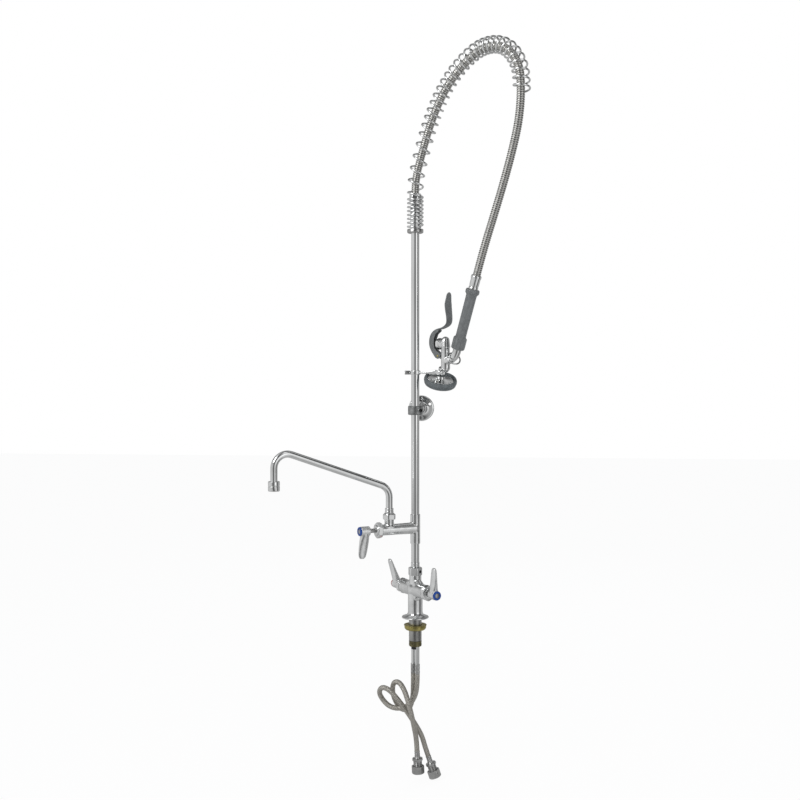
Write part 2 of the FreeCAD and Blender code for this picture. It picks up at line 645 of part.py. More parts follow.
def valve_set(name, frame, face, radius, show, turn):
    """Bonnet, cartridge, stem, handle and button on one axis."""
    hub_foot = "%s + bonnet_height + %s" % (face, show)
    stem_foot = "%s - bonnet_plug - end_gap - stem_socket + end_gap" % face
    node(cut(
        name + "_bonnet",
        fuse(name + "_bonnet_blank",
             cylinder(name + "_bonnet_thread", frame, face + " - bonnet_plug", "bonnet_plug",
                      radius + " + cartridge_gap - fit_gap"),
             rounded_hexagon(name + "_bonnet_nut", frame, face, "bonnet_height", "bonnet_across",
                             "bonnet_radius", "bonnet_bevel")),
        cylinder(name + "_bonnet_bore", frame, face + " - bonnet_plug", "bonnet_plug + bonnet_height",
                 "stem_radius + run_fit"),
    ))
    cartridge_foot = face + " - chamber_depth + end_gap"
    cartridge_length = "chamber_depth - bonnet_plug - 2 * end_gap"
    node(cut(
        name + "_cartridge",
        cylinder(name + "_cartridge_blank", frame, cartridge_foot, cartridge_length, radius),
        cylinder(name + "_cartridge_socket", frame, stem_foot + " - end_gap", "stem_socket + end_gap",
                 "stem_radius + run_fit"),
    ))
    node(cylinder(name + "_stem", frame, stem_foot, "%s + hub_depth - end_gap - (%s)" % (hub_foot, stem_foot),
                  "stem_radius"))
    hub_frame = frame + " * " + place(z=hub_foot)
    node(cut(
        name + "_handle",
        fuse(name + "_handle_blank",
             beveled(name + "_hub", hub_frame, "0", "hub_length", "hub_radius", "bonnet_bevel / 2"),
             lever_blade(name + "_blade", hub_frame, turn)),
        cylinder(name + "_stem_socket", hub_frame, 0, "hub_depth", "stem_radius + fit_gap / 2"),
        cylinder(name + "_button_hole", hub_frame, "hub_length - button_screw_length - end_gap",
                 "button_screw_length + end_gap", "button_screw_radius + fit_gap / 2"),
    ))
    node(fuse(
        name + "_button",
        cylinder(name + "_button_screw", hub_frame, "hub_length - button_screw_length", "button_screw_length",
                 "button_screw_radius"),
        cylinder(name + "_button_rim", hub_frame, "hub_length", "button_rim", "button_radius"),
        cone(name + "_button_dome", hub_frame, "hub_length + button_rim", "button_dome", "button_radius",
             "button_radius * 0.62"),
    ))


valve_set("cold", COLD, "barrel_reach", "cartridge_radius", "stem_show", "cold_tilt")
valve_set("hot", HOT, "barrel_reach", "cartridge_radius", "stem_show", "-hot_open")
valve_set("add_on", ADD_ON, "add_on_reach", "small_cartridge_radius", "long_stem_show", 180)

# Riser nut, its set screw and the lower nipple
nut_screw_frame = outward("neck_top + riser_nut_height / 2", "nut_screw_turn")
node(cut(
    "riser_nut",
    rounded_hexagon("riser_nut_blank", UPRIGHT, "neck_top", "riser_nut_height", "riser_nut_across",
                    "riser_nut_radius", "bonnet_bevel"),
    cylinder("riser_nut_hole", UPRIGHT, "neck_top", "riser_nut_height", "pipe_radius + fit_gap"),
    cylinder("riser_nut_screw_hole", nut_screw_frame, 0, "riser_nut_radius", "set_screw_radius"),
))
node(cut(
    "lower_nipple",
    fuse("nipple_blank",
         cylinder("nipple_pipe", UPRIGHT, "nipple_foot", "nipple_top - nipple_foot", "pipe_radius"),
         beveled("nipple_collar", UPRIGHT, "riser_nut_top", "nipple_collar_height", "nipple_collar_radius",
                 "end_gap")),
    cylinder("nipple_bore", UPRIGHT, "nipple_foot", "nipple_top - nipple_foot", "water_radius"),
))

# Add-on faucet body
node(cut(
    "add_on_body",
    fuse("add_on_blank",
         beveled("add_on_sleeve", UPRIGHT, "add_on_foot", "sleeve_below + sleeve_above", "sleeve_radius",
                 "end_gap * 2"),
         cylinder("add_on_barrel", ADD_ON, 0, "add_on_reach", "add_on_radius"),
         cylinder("add_on_neck", SPOUT, "add_on_height", "socket_rise", "socket_radius")),
    cylinder("add_on_lower_bore", UPRIGHT, "add_on_foot", "thread_depth", "pipe_radius + fit_gap"),
    cylinder("add_on_upper_bore", UPRIGHT, "riser_foot", "thread_depth", "pipe_radius + fit_gap"),
    cylinder("add_on_water_way", UPRIGHT, "add_on_foot", "sleeve_below + sleeve_above", "water_radius"),
    cylinder("add_on_feed", ADD_ON, 0, "add_on_chamber_floor", "feed_radius"),
    cylinder("add_on_chamber", ADD_ON, "add_on_chamber_floor", "chamber_depth",
             "small_cartridge_radius + cartridge_gap"),
    cylinder("add_on_socket", SPOUT, "socket_floor", "socket_depth", "socket_bore"),
    cylinder("add_on_port", SPOUT, "add_on_height", "socket_rise", "port_radius"),
))

# Spout with its nut, seals and outlet
node(cut(
    "spout_nut",
    rounded_hexagon("spout_nut_blank", SPOUT, "spout_nut_foot", "spout_nut_height", "spout_nut_across",
                    "spout_nut_radius", "bonnet_bevel / 2"),
    cylinder("spout_nut_thread", SPOUT, "spout_nut_foot", "spout_nut_height - spout_nut_lip",
             "socket_radius + fit_gap"),
    cylinder("spout_nut_hole", SPOUT, "spout_nut_foot", "spout_nut_height", "spout_radius + end_gap"),
))


def rounded_route(points, radius=None):
    """Straight runs joined by tangent arcs, as a list of edges with each arc's radius.

    Without a radius, each arc is as large as its two runs allow.
    """
    edges = []
    radii = []
    start = points[0]
    for before, corner, after in zip(points, points[1:], points[2:]):
        back = before - corner
        ahead = after - corner
        half_turn = (math.pi - back.getAngle(ahead)) / 2
        reach = radius * math.tan(half_turn) if radius else 0.45 * min(back.Length, ahead.Length)
        arc_start = corner + Vector(back).normalize() * reach
        arc_end = corner + Vector(ahead).normalize() * reach
        arc_radius = reach / math.tan(half_turn)
        bisector = (Vector(back).normalize() + Vector(ahead).normalize()).normalize()
        to_middle = arc_radius / math.cos(half_turn) - arc_radius
        middle = corner + bisector * to_middle
        edges.append(Part.LineSegment(start, arc_start).toShape())
        edges.append(Part.Arc(arc_start, middle, arc_end).toShape())
        radii.append(arc_radius)
        start = arc_end
    edges.append(Part.LineSegment(start, points[-1]).toShape())
    return edges, radii


def swept_tube(edges, outside, inside=None):
    """A tube along a route, hollow if it has an inside radius."""
    route = Part.Wire(edges)
    start = edges[0].Vertexes[0].Point
    ahead = edges[0].tangentAt(edges[0].FirstParameter)
    solids = []
    for radius in (outside, inside):
        if radius:
            ring = Part.Wire([Part.Circle(start, ahead, radius).toShape()])
            solids.append(route.makePipeShell([ring], True, False))
    return solids[0].cut(solids[1]) if inside else solids[0]


spout_points = [
    Vector(0, 0, size("spout_ring_foot")),
    Vector(0, 0, size("spout_rise")),
    Vector(size("spout_reach"), 0, size("spout_peak")),
    Vector(size("spout_reach"), 0, size("outlet_top") - size("outlet_socket")),
]
spout_edges = rounded_route(spout_points, size("spout_bend"))[0]
spout_tube = shaped("spout_tube", swept_tube(spout_edges, size("spout_radius")), SPOUT)
spout_hole = shaped("spout_hole", swept_tube(spout_edges, size("spout_bore")), SPOUT)


def seal_height(number):
    return "socket_floor + (1 + %d) * seal_spacing" % number


node(cut(
    "spout",
    fuse("spout_blank",
         spout_tube,
         cylinder("spout_shaft", SPOUT, "socket_floor + end_gap", "spout_ring_foot - socket_floor - end_gap",
                  "spout_radius"),
         cylinder("spout_flange", SPOUT, "socket_top + end_gap",
                  "spout_nut_height - spout_nut_lip - spout_nut_grip - 2 * end_gap", "spout_flange_radius"),
         beveled("spout_ring", SPOUT, "spout_ring_foot", "spout_ring_height", "spout_ring_radius", "end_gap")),
    spout_hole,
    cylinder("spout_shaft_bore", SPOUT, "socket_floor", "spout_ring_foot - socket_floor", "feed_radius"),
    cut("spout_seal_groove_low",
        cylinder("seal_groove_low_out", SPOUT, seal_height(0) + " - 1.4 * seal_wire", "2.8 * seal_wire",
                 "socket_bore"),
        cylinder("seal_groove_low_in", SPOUT, seal_height(0) + " - 1.4 * seal_wire", "2.8 * seal_wire",
                 "seal_radius - seal_wire - run_fit")),
    cut("spout_seal_groove_high",
        cylinder("seal_groove_high_out", SPOUT, seal_height(1) + " - 1.4 * seal_wire", "2.8 * seal_wire",
                 "socket_bore"),
        cylinder("seal_groove_high_in", SPOUT, seal_height(1) + " - 1.4 * seal_wire", "2.8 * seal_wire",
                 "seal_radius - seal_wire - run_fit")),
))
node(group(
    "spout_o_rings",
    torus("spout_seal_low", SPOUT, seal_height(0), "seal_radius", "seal_wire"),
    torus("spout_seal_high", SPOUT, seal_height(1), "seal_radius", "seal_wire"),
))
OUTLET = SPOUT + " * " + place(x="spout_reach")
node(cut(
    "spout_outlet",
    beveled("outlet_blank", OUTLET, "outlet_foot", "outlet_height", "outlet_radius", "bonnet_bevel / 2"),
    cylinder("outlet_tube_hole", OUTLET, "outlet_top - outlet_socket", "outlet_socket", "spout_radius + fit_gap"),
    cylinder("outlet_mouth", OUTLET, "outlet_foot", "outlet_height - outlet_socket - 2 * end_gap", "outlet_bore"),
    cylinder("outlet_way", OUTLET, "outlet_foot", "outlet_height", "spout_bore"),
))

# Riser pipe
node(cut(
    "riser_pipe",
    cylinder("riser_blank", UPRIGHT, "riser_foot", "riser_length", "pipe_radius"),
    cylinder("riser_bore", UPRIGHT, "riser_foot", "riser_length", "water_radius"),
))

# Wall bracket
clamp_screw_frame = outward("bracket_height", "clamp_screw_turn")
node(cut(
    "wall_clamp",
    fuse("clamp_blank",
         beveled("clamp_drum", UPRIGHT, "clamp_foot", "clamp_height", "clamp_radius", "clamp_bevel"),
         beveled("clamp_boss", WALL, "0", "clamp_boss_reach", "clamp_boss_radius - clamp_bevel", "end_gap * 2"),
         cylinder("clamp_screw_boss", clamp_screw_frame, 0, "clamp_radius + end_gap", "set_screw_radius + 2")),
    cylinder("clamp_bore", UPRIGHT, "clamp_foot - clamp_bevel", "clamp_height + 2 * clamp_bevel",
             "pipe_radius + fit_gap"),
    cylinder("clamp_nipple_hole", WALL, "clamp_boss_reach - thread_depth + run_fit", "thread_depth",
             "pipe_radius + fit_gap"),
    cylinder("clamp_screw_hole", clamp_screw_frame, 0, "clamp_radius + 2", "set_screw_radius"),
))


def set_screw(name, frame, end):
    """A hexagon-socket set screw that bears on the riser."""
    return cut(name,
               cylinder(name + "_blank", frame, "pipe_radius + fit_gap", "%s - pipe_radius - fit_gap" % end,
                        "set_screw_radius - fit_gap"),
               hexagon(name + "_key", frame, "%s - set_screw_radius / 2" % end, "set_screw_radius",
                       "set_screw_radius"))


node(group("set_screws",
           set_screw("nut_set_screw", nut_screw_frame, "riser_nut_across / 2"),
           set_screw("clamp_set_screw", clamp_screw_frame, "clamp_screw_reach")))
nipple_start = "clamp_boss_reach - thread_depth + end_gap"
node(cut(
    "wall_nipple",
    cylinder("wall_nipple_blank", WALL, nipple_start, "wall_distance - 2 * end_gap - (%s)" % nipple_start,
             "pipe_radius"),
    cylinder("wall_nipple_bore", WALL, nipple_start, "wall_distance - 2 * end_gap - (%s)" % nipple_start,
             "water_radius"),
))
flange_back = "wall_distance - wall_flange_rim"


def wall_hole(name, side):
    return cylinder(name, WALL + " * " + place(angle="-wall_screw_turn") + " * "
                    + place(x="%d * wall_screw_circle" % side), "wall_distance - wall_hub_length", "wall_hub_length",
                    "wall_screw_radius")


node(cut(
    "wall_flange",
    fuse("wall_flange_blank",
         cylinder("wall_flange_disc", WALL, flange_back, "wall_flange_rim", "wall_flange_radius"),
         cone("wall_flange_slope", WALL, "wall_distance - 2 * wall_flange_rim", "wall_flange_rim",
              "wall_hub_radius", "wall_flange_radius - wall_flange_rim"),
         beveled("wall_flange_hub", WALL, "wall_distance - wall_hub_length", "wall_hub_length", "wall_hub_radius",
                 "end_gap * 2")),
    cylinder("wall_flange_bore", WALL, "wall_distance - wall_hub_length", "wall_hub_length - end_gap",
             "pipe_radius + fit_gap"),
    wall_hole("wall_hole_right", 1),
    wall_hole("wall_hole_left", -1),
))

# Finger hook
hook_screw_frame = outward("hook_height", "hook_screw_turn")
NECK_IN_HOOK = HOOK + " * " + place(x="hook_reach")


def hook_leaf():
    """The hook's flat arm, taller towards the finger."""
    near = size("hook_ring_radius") - 1
    far = size("hook_reach") - size("hook_inside") - size("hook_thick") / 2
    half = size("hook_thick") / 2
    low = size("hook_stem_height") / 2
    high = size("hook_leaf_height") / 2
    mid = near + 0.45 * (far - near)
    corners = [Vector(near, -half, -low), Vector(mid, -half, -low * 1.2), Vector(far, -half, -high),
               Vector(far, -half, high), Vector(mid, -half, low * 1.2), Vector(near, -half, low)]
    outline = Part.Face(Part.makePolygon(corners + corners[:1]))
    return outline.extrude(Vector(0, 2 * half, 0))


finger_arc = cut(
    "hook_finger",
    cylinder("hook_finger_out", NECK_IN_HOOK + " * " + place(angle=180), "-hook_leaf_height / 2",
             "hook_leaf_height", "hook_inside + hook_thick"),
    cylinder("hook_finger_in", NECK_IN_HOOK, "-hook_leaf_height / 2", "hook_leaf_height", "hook_inside"),
)
bind(doc.getObject("hook_finger_out"), Angle="hook_sweep")
TIP = (NECK_IN_HOOK + " * " + place(z="-hook_tip_drop", angle="180 + hook_sweep") + " * "
       + place(about="y", angle=90))
node(cut(
    "finger_hook",
    fuse("hook_blank",
         beveled("hook_ring", UPRIGHT, "hook_height - hook_ring_height / 2", "hook_ring_height",
                 "hook_ring_radius", "end_gap * 2"),
         shaped("hook_leaf", hook_leaf(), HOOK),
         finger_arc,
         cylinder("hook_tip", TIP, "hook_inside", "hook_thick + end_gap", "hook_tip_radius")),
    cylinder("hook_bore", UPRIGHT, "hook_height - hook_ring_height / 2", "hook_ring_height",
             "pipe_radius + fit_gap"),
    cylinder("hook_screw_hole", hook_screw_frame, 0, "hook_ring_radius", "hook_screw_stem + fit_gap"),
))
node(fuse(
    "hook_screw",
    cylinder("hook_screw_thread", hook_screw_frame, "pipe_radius + fit_gap", "hook_screw_reach / 2",
             "hook_screw_stem"),
    beveled("hook_screw_head", hook_screw_frame, "hook_ring_radius + end_gap",
            "hook_screw_reach - hook_ring_radius - end_gap", "hook_screw_radius", "end_gap * 2"),
))

# Spring collar and hose adapter on the riser's top
node(cut(
    "spring_collar",
    beveled("spring_collar_blank", UPRIGHT, "spring_collar_foot", "spring_collar_height", "spring_collar_radius",
            "end_gap * 2"),
    cylinder("spring_collar_hole", UPRIGHT, "spring_collar_foot", "riser_top - spring_collar_foot",
             "pipe_radius + fit_gap"),
    cylinder("spring_collar_mouth", UPRIGHT, "riser_top", "spring_collar_lift", "adapter_radius + fit_gap"),
))
node(cut(
    "hose_adapter",
    fuse("adapter_blank",
         cylinder("adapter_spigot_pipe", UPRIGHT, "riser_top - adapter_spigot", "adapter_spigot",
                  "water_radius - fit_gap"),
         beveled("adapter_barrel", UPRIGHT, "riser_top", "adapter_length", "adapter_radius", "end_gap"),
         rounded_hexagon("adapter_nut", UPRIGHT, "hex_foot", "adapter_hex_height", "adapter_hex",
                         "adapter_hex / 2 * 1.09", "end_gap * 3")),
    cylinder("adapter_hole", UPRIGHT, "riser_top - adapter_spigot",
             "adapter_spigot + adapter_length + adapter_hex_height", "adapter_bore"),
))

# Overhead spring: route of its middle in the arch's upright plane, as reach and height above the hose's foot
arch_turn = -39
SPRING_ROUTE = [(0, -75), (0, 0), (1.3, 30), (15.2, 75), (45.5, 149), (87.8, 214.3), (145.3, 258.4),
                (197, 275.1), (250.2, 262.5), (283.3, 218.8), (288, 170.7), (286.8, 146)]
# Turns of the spring from the collar upwards: how many, and their pitch
SPRING_PITCHES = [(7, 8.3), (1, 8), (5, 25), (2, 17.8), (10, 15.6), (2, 14.2), (3, 11.2), (2, 13), (8, 15.2)]


def arch_point(reach, aside, height):
    """A point of the arch: reach in its plane, distance behind that plane, height above the hose's foot."""
    turn = math.radians(arch_turn)
    return Vector(reach * math.cos(turn) - aside * math.sin(turn),
                  reach * math.sin(turn) + aside * math.cos(turn),
                  size("hose_foot") + height)


class Route:
    """A path of edges that gives its point and direction at any distance along it."""

    def __init__(self, edges):
        self.edges = edges
        self.length = sum(edge.Length for edge in edges)

    def at(self, distance):
        distance = min(max(distance, 0), self.length)
        for edge in self.edges:
            if distance <= edge.Length or edge is self.edges[-1]:
                step = min(distance / edge.Length, 1)
                parameter = edge.FirstParameter + step * (edge.LastParameter - edge.FirstParameter)
                return edge.valueAt(parameter), edge.tangentAt(parameter)
            distance -= edge.Length


def biarc(start, start_way, end, end_way):
    """Two arcs that leave one point and meet the other in the given directions."""
    chord = end - start
    ways = start_way + end_way
    spread = 2 * (1 - start_way.dot(end_way))
    reach = (math.sqrt(chord.dot(ways) ** 2 + spread * chord.dot(chord)) - chord.dot(ways)) / spread
    first_corner = start + start_way * reach
    last_corner = end - end_way * reach
    joint = (first_corner + last_corner) * 0.5
    arcs = []
    for low, corner, high in ((start, first_corner, joint), (joint, last_corner, end)):
        middle = (low + high) * 0.5
        half_turn = (high - low).Length / 2 / (corner - low).Length
        top = middle + (corner - middle) * (half_turn / (1 + half_turn))
        arcs.append(Part.Arc(low, top, high).toShape())
    return arcs


def wound_spring(route, pitches, radius, wire, start):
    """A left-handed spring wound round a route that lies in an upright plane."""
    turn = math.radians(arch_turn)
    aside = Vector(-math.sin(turn), math.cos(turn), 0)
    quarters = []
    distance = start
    for turns, pitch in pitches:
        for _ in range(4 * turns):
            quarters.append(distance)
            distance += pitch / 4
    quarters.append(distance)

    def point(count):
        whole = min(int(count), len(quarters) - 2)
        along = quarters[whole] + (count - whole) * (quarters[whole + 1] - quarters[whole])
        middle, ahead = route.at(along)
        across = aside.cross(ahead)
        angle = -count * math.pi / 2
        return middle + (across * math.cos(angle) + aside * math.sin(angle)) * radius

    def way(count):
        step = 0.02
        low = max(count - step, 0)
        high = min(count + step, len(quarters) - 1)
        return (point(high) - point(low)).normalize()

    stations = range(len(quarters))
    points = [point(count) for count in stations]
    ways = [way(count) for count in stations]
    edges = [Part.LineSegment(points[0] - ways[0] * 2 * wire, points[0]).toShape()]
    for low in stations[:-1]:
        edges += biarc(points[low], ways[low], points[low + 1], ways[low + 1])
    edges.append(Part.LineSegment(points[-1], points[-1] + ways[-1] * 2 * wire).toShape())
    return edges, points


arch_route = Route(rounded_route([arch_point(reach, 0, height) for reach, height in SPRING_ROUTE])[0])
spring_edges, spring_points = wound_spring(arch_route, SPRING_PITCHES, size("spring_radius"),
                                           size("spring_wire"), size("spring_wire") + size("end_gap"))
node(shaped("overhead_spring", swept_tube(spring_edges, size("spring_wire"))))


def least_self_gap(points, wire):
    """Least gap between points of the wire that lie a turn or more apart."""
    least = 1e9
    for low in range(len(points)):
        for high in range(low + 3, min(low + 7, len(points))):
            least = min(least, (points[low] - points[high]).Length)
    return least - 2 * wire


print("spring: length of its route %.0f mm, wire's least gap to itself %.2f mm"
      % (arch_route.length, least_self_gap(spring_points, size("spring_wire"))))

# Spray hose: reach, distance behind the arch's plane, height above the hose's foot, and how far the point
# follows the spray valve, if the hook sits higher or lower under the hose's foot
HOSE_ROUTE = [(0, 0, 0.3, 0), (0, 0, 27, 0), (15.2, 0, 72, 0), (46.7, 0, 148, 0), (89, 0, 211, 0),
              (146.5, 0, 254.5, 0), (197, 0, 272, 0), (248.8, 0, 260, 0), (281.5, 0, 219, 0.1),
              (285.6, 0.6, 166.8, 0.25), (270.8, 12, 112.6, 0.45), (244.4, 22.4, 55.7, 0.65),
              (216.9, 28.8, -3.3, 0.85), (191, 31.2, -61.9, 1)]
HOSE_RIBS = 198


def local_frame(*steps):
    """The placement of steps, each a shift and a turn about one axis."""
    whole = Placement()
    axes = {"x": Vector(1, 0, 0), "y": Vector(0, 1, 0), "z": Vector(0, 0, 1)}
    for shift, about, angle in steps:
        whole = whole * Placement(shift, Rotation(axes[about], angle))
    return whole


grip_place = local_frame(
    (Vector(size("valve_x"), size("valve_y"), size("valve_z")), "z", size("valve_turn")),
    (Vector(-size("grip_back"), 0, size("grip_lift")), "y", -size("grip_lean")),
)
hose_end = grip_place.multVec(Vector(0, 0, size("sleeve_end") - size("hose_tail")))
hose_lead = grip_place.multVec(Vector(0, 0, size("sleeve_end") + size("hose_lead")))
valve_rise = size("hook_height") - size("hose_foot") + size("hook_drop")
hose_points = [arch_point(reach, aside, height + share * valve_rise)
               for reach, aside, height, share in HOSE_ROUTE] + [hose_lead, hose_end]
hose_edges, hose_radii = rounded_route(hose_points)
hose_route = Route(hose_edges)


def ribbed_hose(route, ribs, crest, groove, bore):
    """A hose whose ribs are ruled between circles, with a smooth bore."""
    steady = arch_point(0, 1, 0) - arch_point(0, 0, 0)
    tail = 2 * crest
    pitch = (route.length - 2 * tail) / ribs
    stations = [(0, crest - groove)]
    for rib in range(ribs):
        foot = tail + rib * pitch
        stations += [(foot + 0.1 * pitch, crest - groove), (foot + 0.28 * pitch, crest),
                     (foot + 0.72 * pitch, crest), (foot + 0.9 * pitch, crest - groove)]
    stations.append((route.length, crest - groove))
    rings = []
    for distance, radius in stations:
        middle, ahead = route.at(distance)
        circle = Part.Circle(middle, ahead, radius)
        circle.XAxis = (steady - ahead * steady.dot(ahead)).normalize()
        rings.append(Part.Wire([circle.toShape()]))
    outside = Part.makeLoft(rings, True, True)
    return outside.cut(swept_tube(route.edges, bore))


node(shaped("spray_hose", ribbed_hose(hose_route, HOSE_RIBS, size("hose_radius"), size("hose_groove"),
                                      size("hose_bore"))))
print("spray hose: length %.0f mm, radii" % hose_route.length, [round(radius) for radius in hose_radii])

# Spray valve: hose sleeve, tube and grip
node(cut(
    "hose_sleeve",
    beveled("hose_sleeve_blank", GRIP, "grip_top", "hose_sleeve_length", "hose_sleeve_radius", "end_gap * 2"),
    cylinder("hose_sleeve_socket", GRIP, "sleeve_end - hose_tail - end_gap", "hose_tail + end_gap",
             "hose_radius + fit_gap"),
    cylinder("hose_sleeve_bore", GRIP, "grip_top", "hose_sleeve_length", "grip_tube_radius + fit_gap"),
))
tube_end = "sleeve_end - hose_tail - 2 * end_gap"
node(cut(
    "grip_tube",
    cylinder("grip_tube_blank", GRIP, "end_gap", tube_end + " - end_gap", "grip_tube_radius"),
    cylinder("grip_tube_hole", GRIP, 0, "sleeve_end", "grip_tube_bore"),
))
node(cut(
    "grip",
    fuse("grip_blank",
         beveled("grip_collar", GRIP, "0", "grip_collar_length", "grip_collar_radius", "bonnet_bevel / 2"),
         cylinder("grip_barrel", GRIP, 0, "grip_top", "grip_radius"),
         beveled("grip_flange", GRIP, "grip_length", "grip_flange_length", "grip_flange_radius",
                 "bonnet_bevel / 2")),
    cylinder("grip_bore", GRIP, 0, "grip_top", "grip_tube_radius + fit_gap"),
))

# Spray valve body
lean = math.radians(size("grip_lean"))
elbow_start = Vector(-size("grip_back"), 0, size("grip_lift"))
elbow_way = Vector(math.sin(lean), 0, -math.cos(lean))
elbow_fall = Vector(-size("elbow_low_back"), 0, -size("elbow_low_drop"))
elbow_root = Vector(0, 0, -size("elbow_root_drop"))
elbow_points = [elbow_start + elbow_way * size("fit_gap"), elbow_start + elbow_way * size("elbow_run"),
                elbow_fall, elbow_root]
elbow_edges = rounded_route(elbow_points)[0]
elbow = shaped("valve_elbow", swept_tube(elbow_edges, size("elbow_radius")), VALVE)
elbow_hole = shaped("valve_elbow_hole", swept_tube(elbow_edges, size("port_radius") * 1.6), VALVE)


def plate_slot(number):
    """One of the dark slots round the back plate."""
    frame = HEAD + " * " + place(angle=number * 45 + 12) + " * " + place(x="plate_radius * 0.74")
    return cylinder("plate_slot_%d" % number, frame, "plate_top - plate_thick", "plate_thick * 3", "port_radius * 1.3")


LUG = VALVE + " * " + place("pin_place", "lug_half_width", "pin_lift", about="x", angle=90)
node(cut(
    "spray_body",
    fuse("valve_body_blank",
         cone("valve_body", VALVE, "-body_foot", "body_top + body_foot", "body_foot_radius", "body_top_radius"),
         sphere("valve_body_top", VALVE, "body_top", "body_top_radius"),
         sphere("valve_body_foot", VALVE, "-body_foot", "body_foot_radius"),
         elbow,
         cylinder("valve_boss", PLUNGER, 0, "boss_reach", "boss_radius"),
         cylinder("valve_lug", LUG, 0, "2 * lug_half_width", "lug_radius"),
         box("valve_lug_web", VALVE, (0, "-lug_half_width", "pin_lift - lug_radius"), "pin_place",
             "2 * lug_half_width", "2 * lug_radius"),
         cylinder("head_neck", HEAD, "-head_drop / 2", "head_drop / 2 + plate_top", "head_neck_radius"),
         cone("head_dome", HEAD, "-dome_lift", "plate_top + dome_lift", "head_neck_radius * 1.1",
              "plate_radius * 0.9"),
         cylinder("head_plate", HEAD, "plate_top", "plate_thick", "plate_radius")),
    elbow_hole,
    cylinder("valve_water_way", VALVE, "-body_foot", "body_foot + plunger_height", "port_radius * 1.6"),
    cylinder("valve_chamber", PLUNGER, "boss_reach - valve_bore_depth", "valve_bore_depth", "valve_bore"),
    cylinder("valve_pin_hole", LUG, 0, "2 * lug_half_width", "pin_radius + run_fit"),
    cylinder("head_water_way", HEAD, "-head_drop / 2", "head_drop / 2 + plate_top + plate_thick / 2",
             "port_radius * 1.2"),
    cut("head_chamber",
        cylinder("head_chamber_blank", HEAD, "plate_top + plate_thick / 2", "plate_thick",
                 "plate_radius - plate_thick"),
        cylinder("head_chamber_hub", HEAD, "plate_top + plate_thick / 2", "plate_thick", "face_screw_head")),
    cylinder("head_screw_hole", HEAD, "plate_top + plate_thick / 2", "plate_thick", "face_screw_radius + fit_gap"),
    *[plate_slot(number) for number in range(8)],
))

# Squeeze valve: bonnet, plunger, return spring, seat washer
bonnet_face = "boss_reach + valve_bonnet_height"
node(cut(
    "valve_bonnet",
    fuse("valve_bonnet_blank",
         rounded_hexagon("valve_bonnet_nut", PLUNGER, "boss_reach", "valve_bonnet_height", "valve_bonnet_across",
                         "valve_bonnet_across / 2 * 1.1", "end_gap * 3"),
         cylinder("valve_bonnet_stem", PLUNGER, "boss_reach - valve_bonnet_thread", "valve_bonnet_thread",
                  "valve_bore - fit_gap")),
    cylinder("valve_bonnet_bore", PLUNGER, "boss_reach - valve_bonnet_thread",
             "valve_bonnet_thread + valve_bonnet_height", "plunger_radius + run_fit"),
    cylinder("valve_bonnet_cavity", PLUNGER, "boss_reach - valve_bonnet_thread", "valve_bonnet_thread + 2",
             "return_radius + return_wire + end_gap"),
))
spring_start = "boss_reach - valve_bonnet_thread + plunger_travel + 1"
plunger_foot = "boss_reach - valve_bore_depth + plunger_travel + end_gap"
node(fuse(
    "plunger",
    cylinder("plunger_rod", PLUNGER, plunger_foot, "plunger_tip - 1 - (%s)" % plunger_foot, "plunger_radius"),
    cone("plunger_end", PLUNGER, "plunger_tip - 1", 1, "plunger_radius", "plunger_radius - 1"),
))


def return_spring():
    """A plain coil spring, made turn by turn with arcs."""
    radius = size("return_radius")
    turns = int(size("return_coils"))
    foot = size("boss_reach") - size("valve_bonnet_thread") + size("return_wire") + size("end_gap")
    top = size("boss_reach") + 2 - size("return_wire") - size("end_gap")
    pitch = (top - foot) / turns
    rise = math.atan2(pitch, 2 * math.pi * radius)
    points = []
    ways = []
    for quarter in range(4 * turns + 1):
        angle = quarter * math.pi / 2
        points.append(Vector(radius * math.cos(angle), radius * math.sin(angle), foot + quarter * pitch / 4))
        ways.append(Vector(-math.sin(angle) * math.cos(rise), math.cos(angle) * math.cos(rise), math.sin(rise)))
    edges = []
    for low in range(4 * turns):
        edges += biarc(points[low], ways[low], points[low + 1], ways[low + 1])
    route = Part.Wire(edges)
    ring = Part.Wire([Part.Circle(points[0], ways[0], size("return_wire")).toShape()])
    return route.makePipeShell([ring], True, False)


node(shaped("valve_spring", return_spring(), PLUNGER))
node(cut(
    "seat_washer",
    cylinder("seat_blank", PLUNGER, "boss_reach - valve_bonnet_thread - seat_thick - end_gap", "seat_thick",
             "seat_radius"),
    cylinder("seat_hole", PLUNGER, "boss_reach - valve_bonnet_thread - seat_thick - end_gap", "seat_thick",
             "plunger_radius + run_fit / 2"),
))

# Squeeze lever: outer outline of its side, as distance from the body's axis and height above the reference
LEVER_OUTSIDE = [(24.8, -3.8), (34.4, 7.3), (41.1, 19.6), (42.8, 30.5), (40.5, 41.4), (33.9, 50.7), (22, 57),
                 (8, 60.2), (-5.5, 67), (-9, 78), (-7.4, 95), (-6.4, 109), (-8, 123)]
LEVER_TIP = (-10, 133.5)
# Inner edge of the channel's two sides, from the pin upwards
CHANNEL_EDGE = [(12.5, 5.2), (21, 10.5), (27, 16.5), (29.6, 26), (29, 37), (25, 46), (14, 53.5)]
# The channel's edge under the pin
CHANNEL_FOOT = [(12.5, -3.5), (18.1, -6.1)]
# Half widths of the strap at heights above the reference: narrow over the channel, wide over the blade
BLADE_WIDTHS = [(-20, 5.6), (52, 5.6), (64, 8.2), (78, 9.4), (109, 11), (121, 9.4), (129, 5), (134, 1.2)]
# Room round the lever for the outline that trims its strap
TRIM_REACH = 60


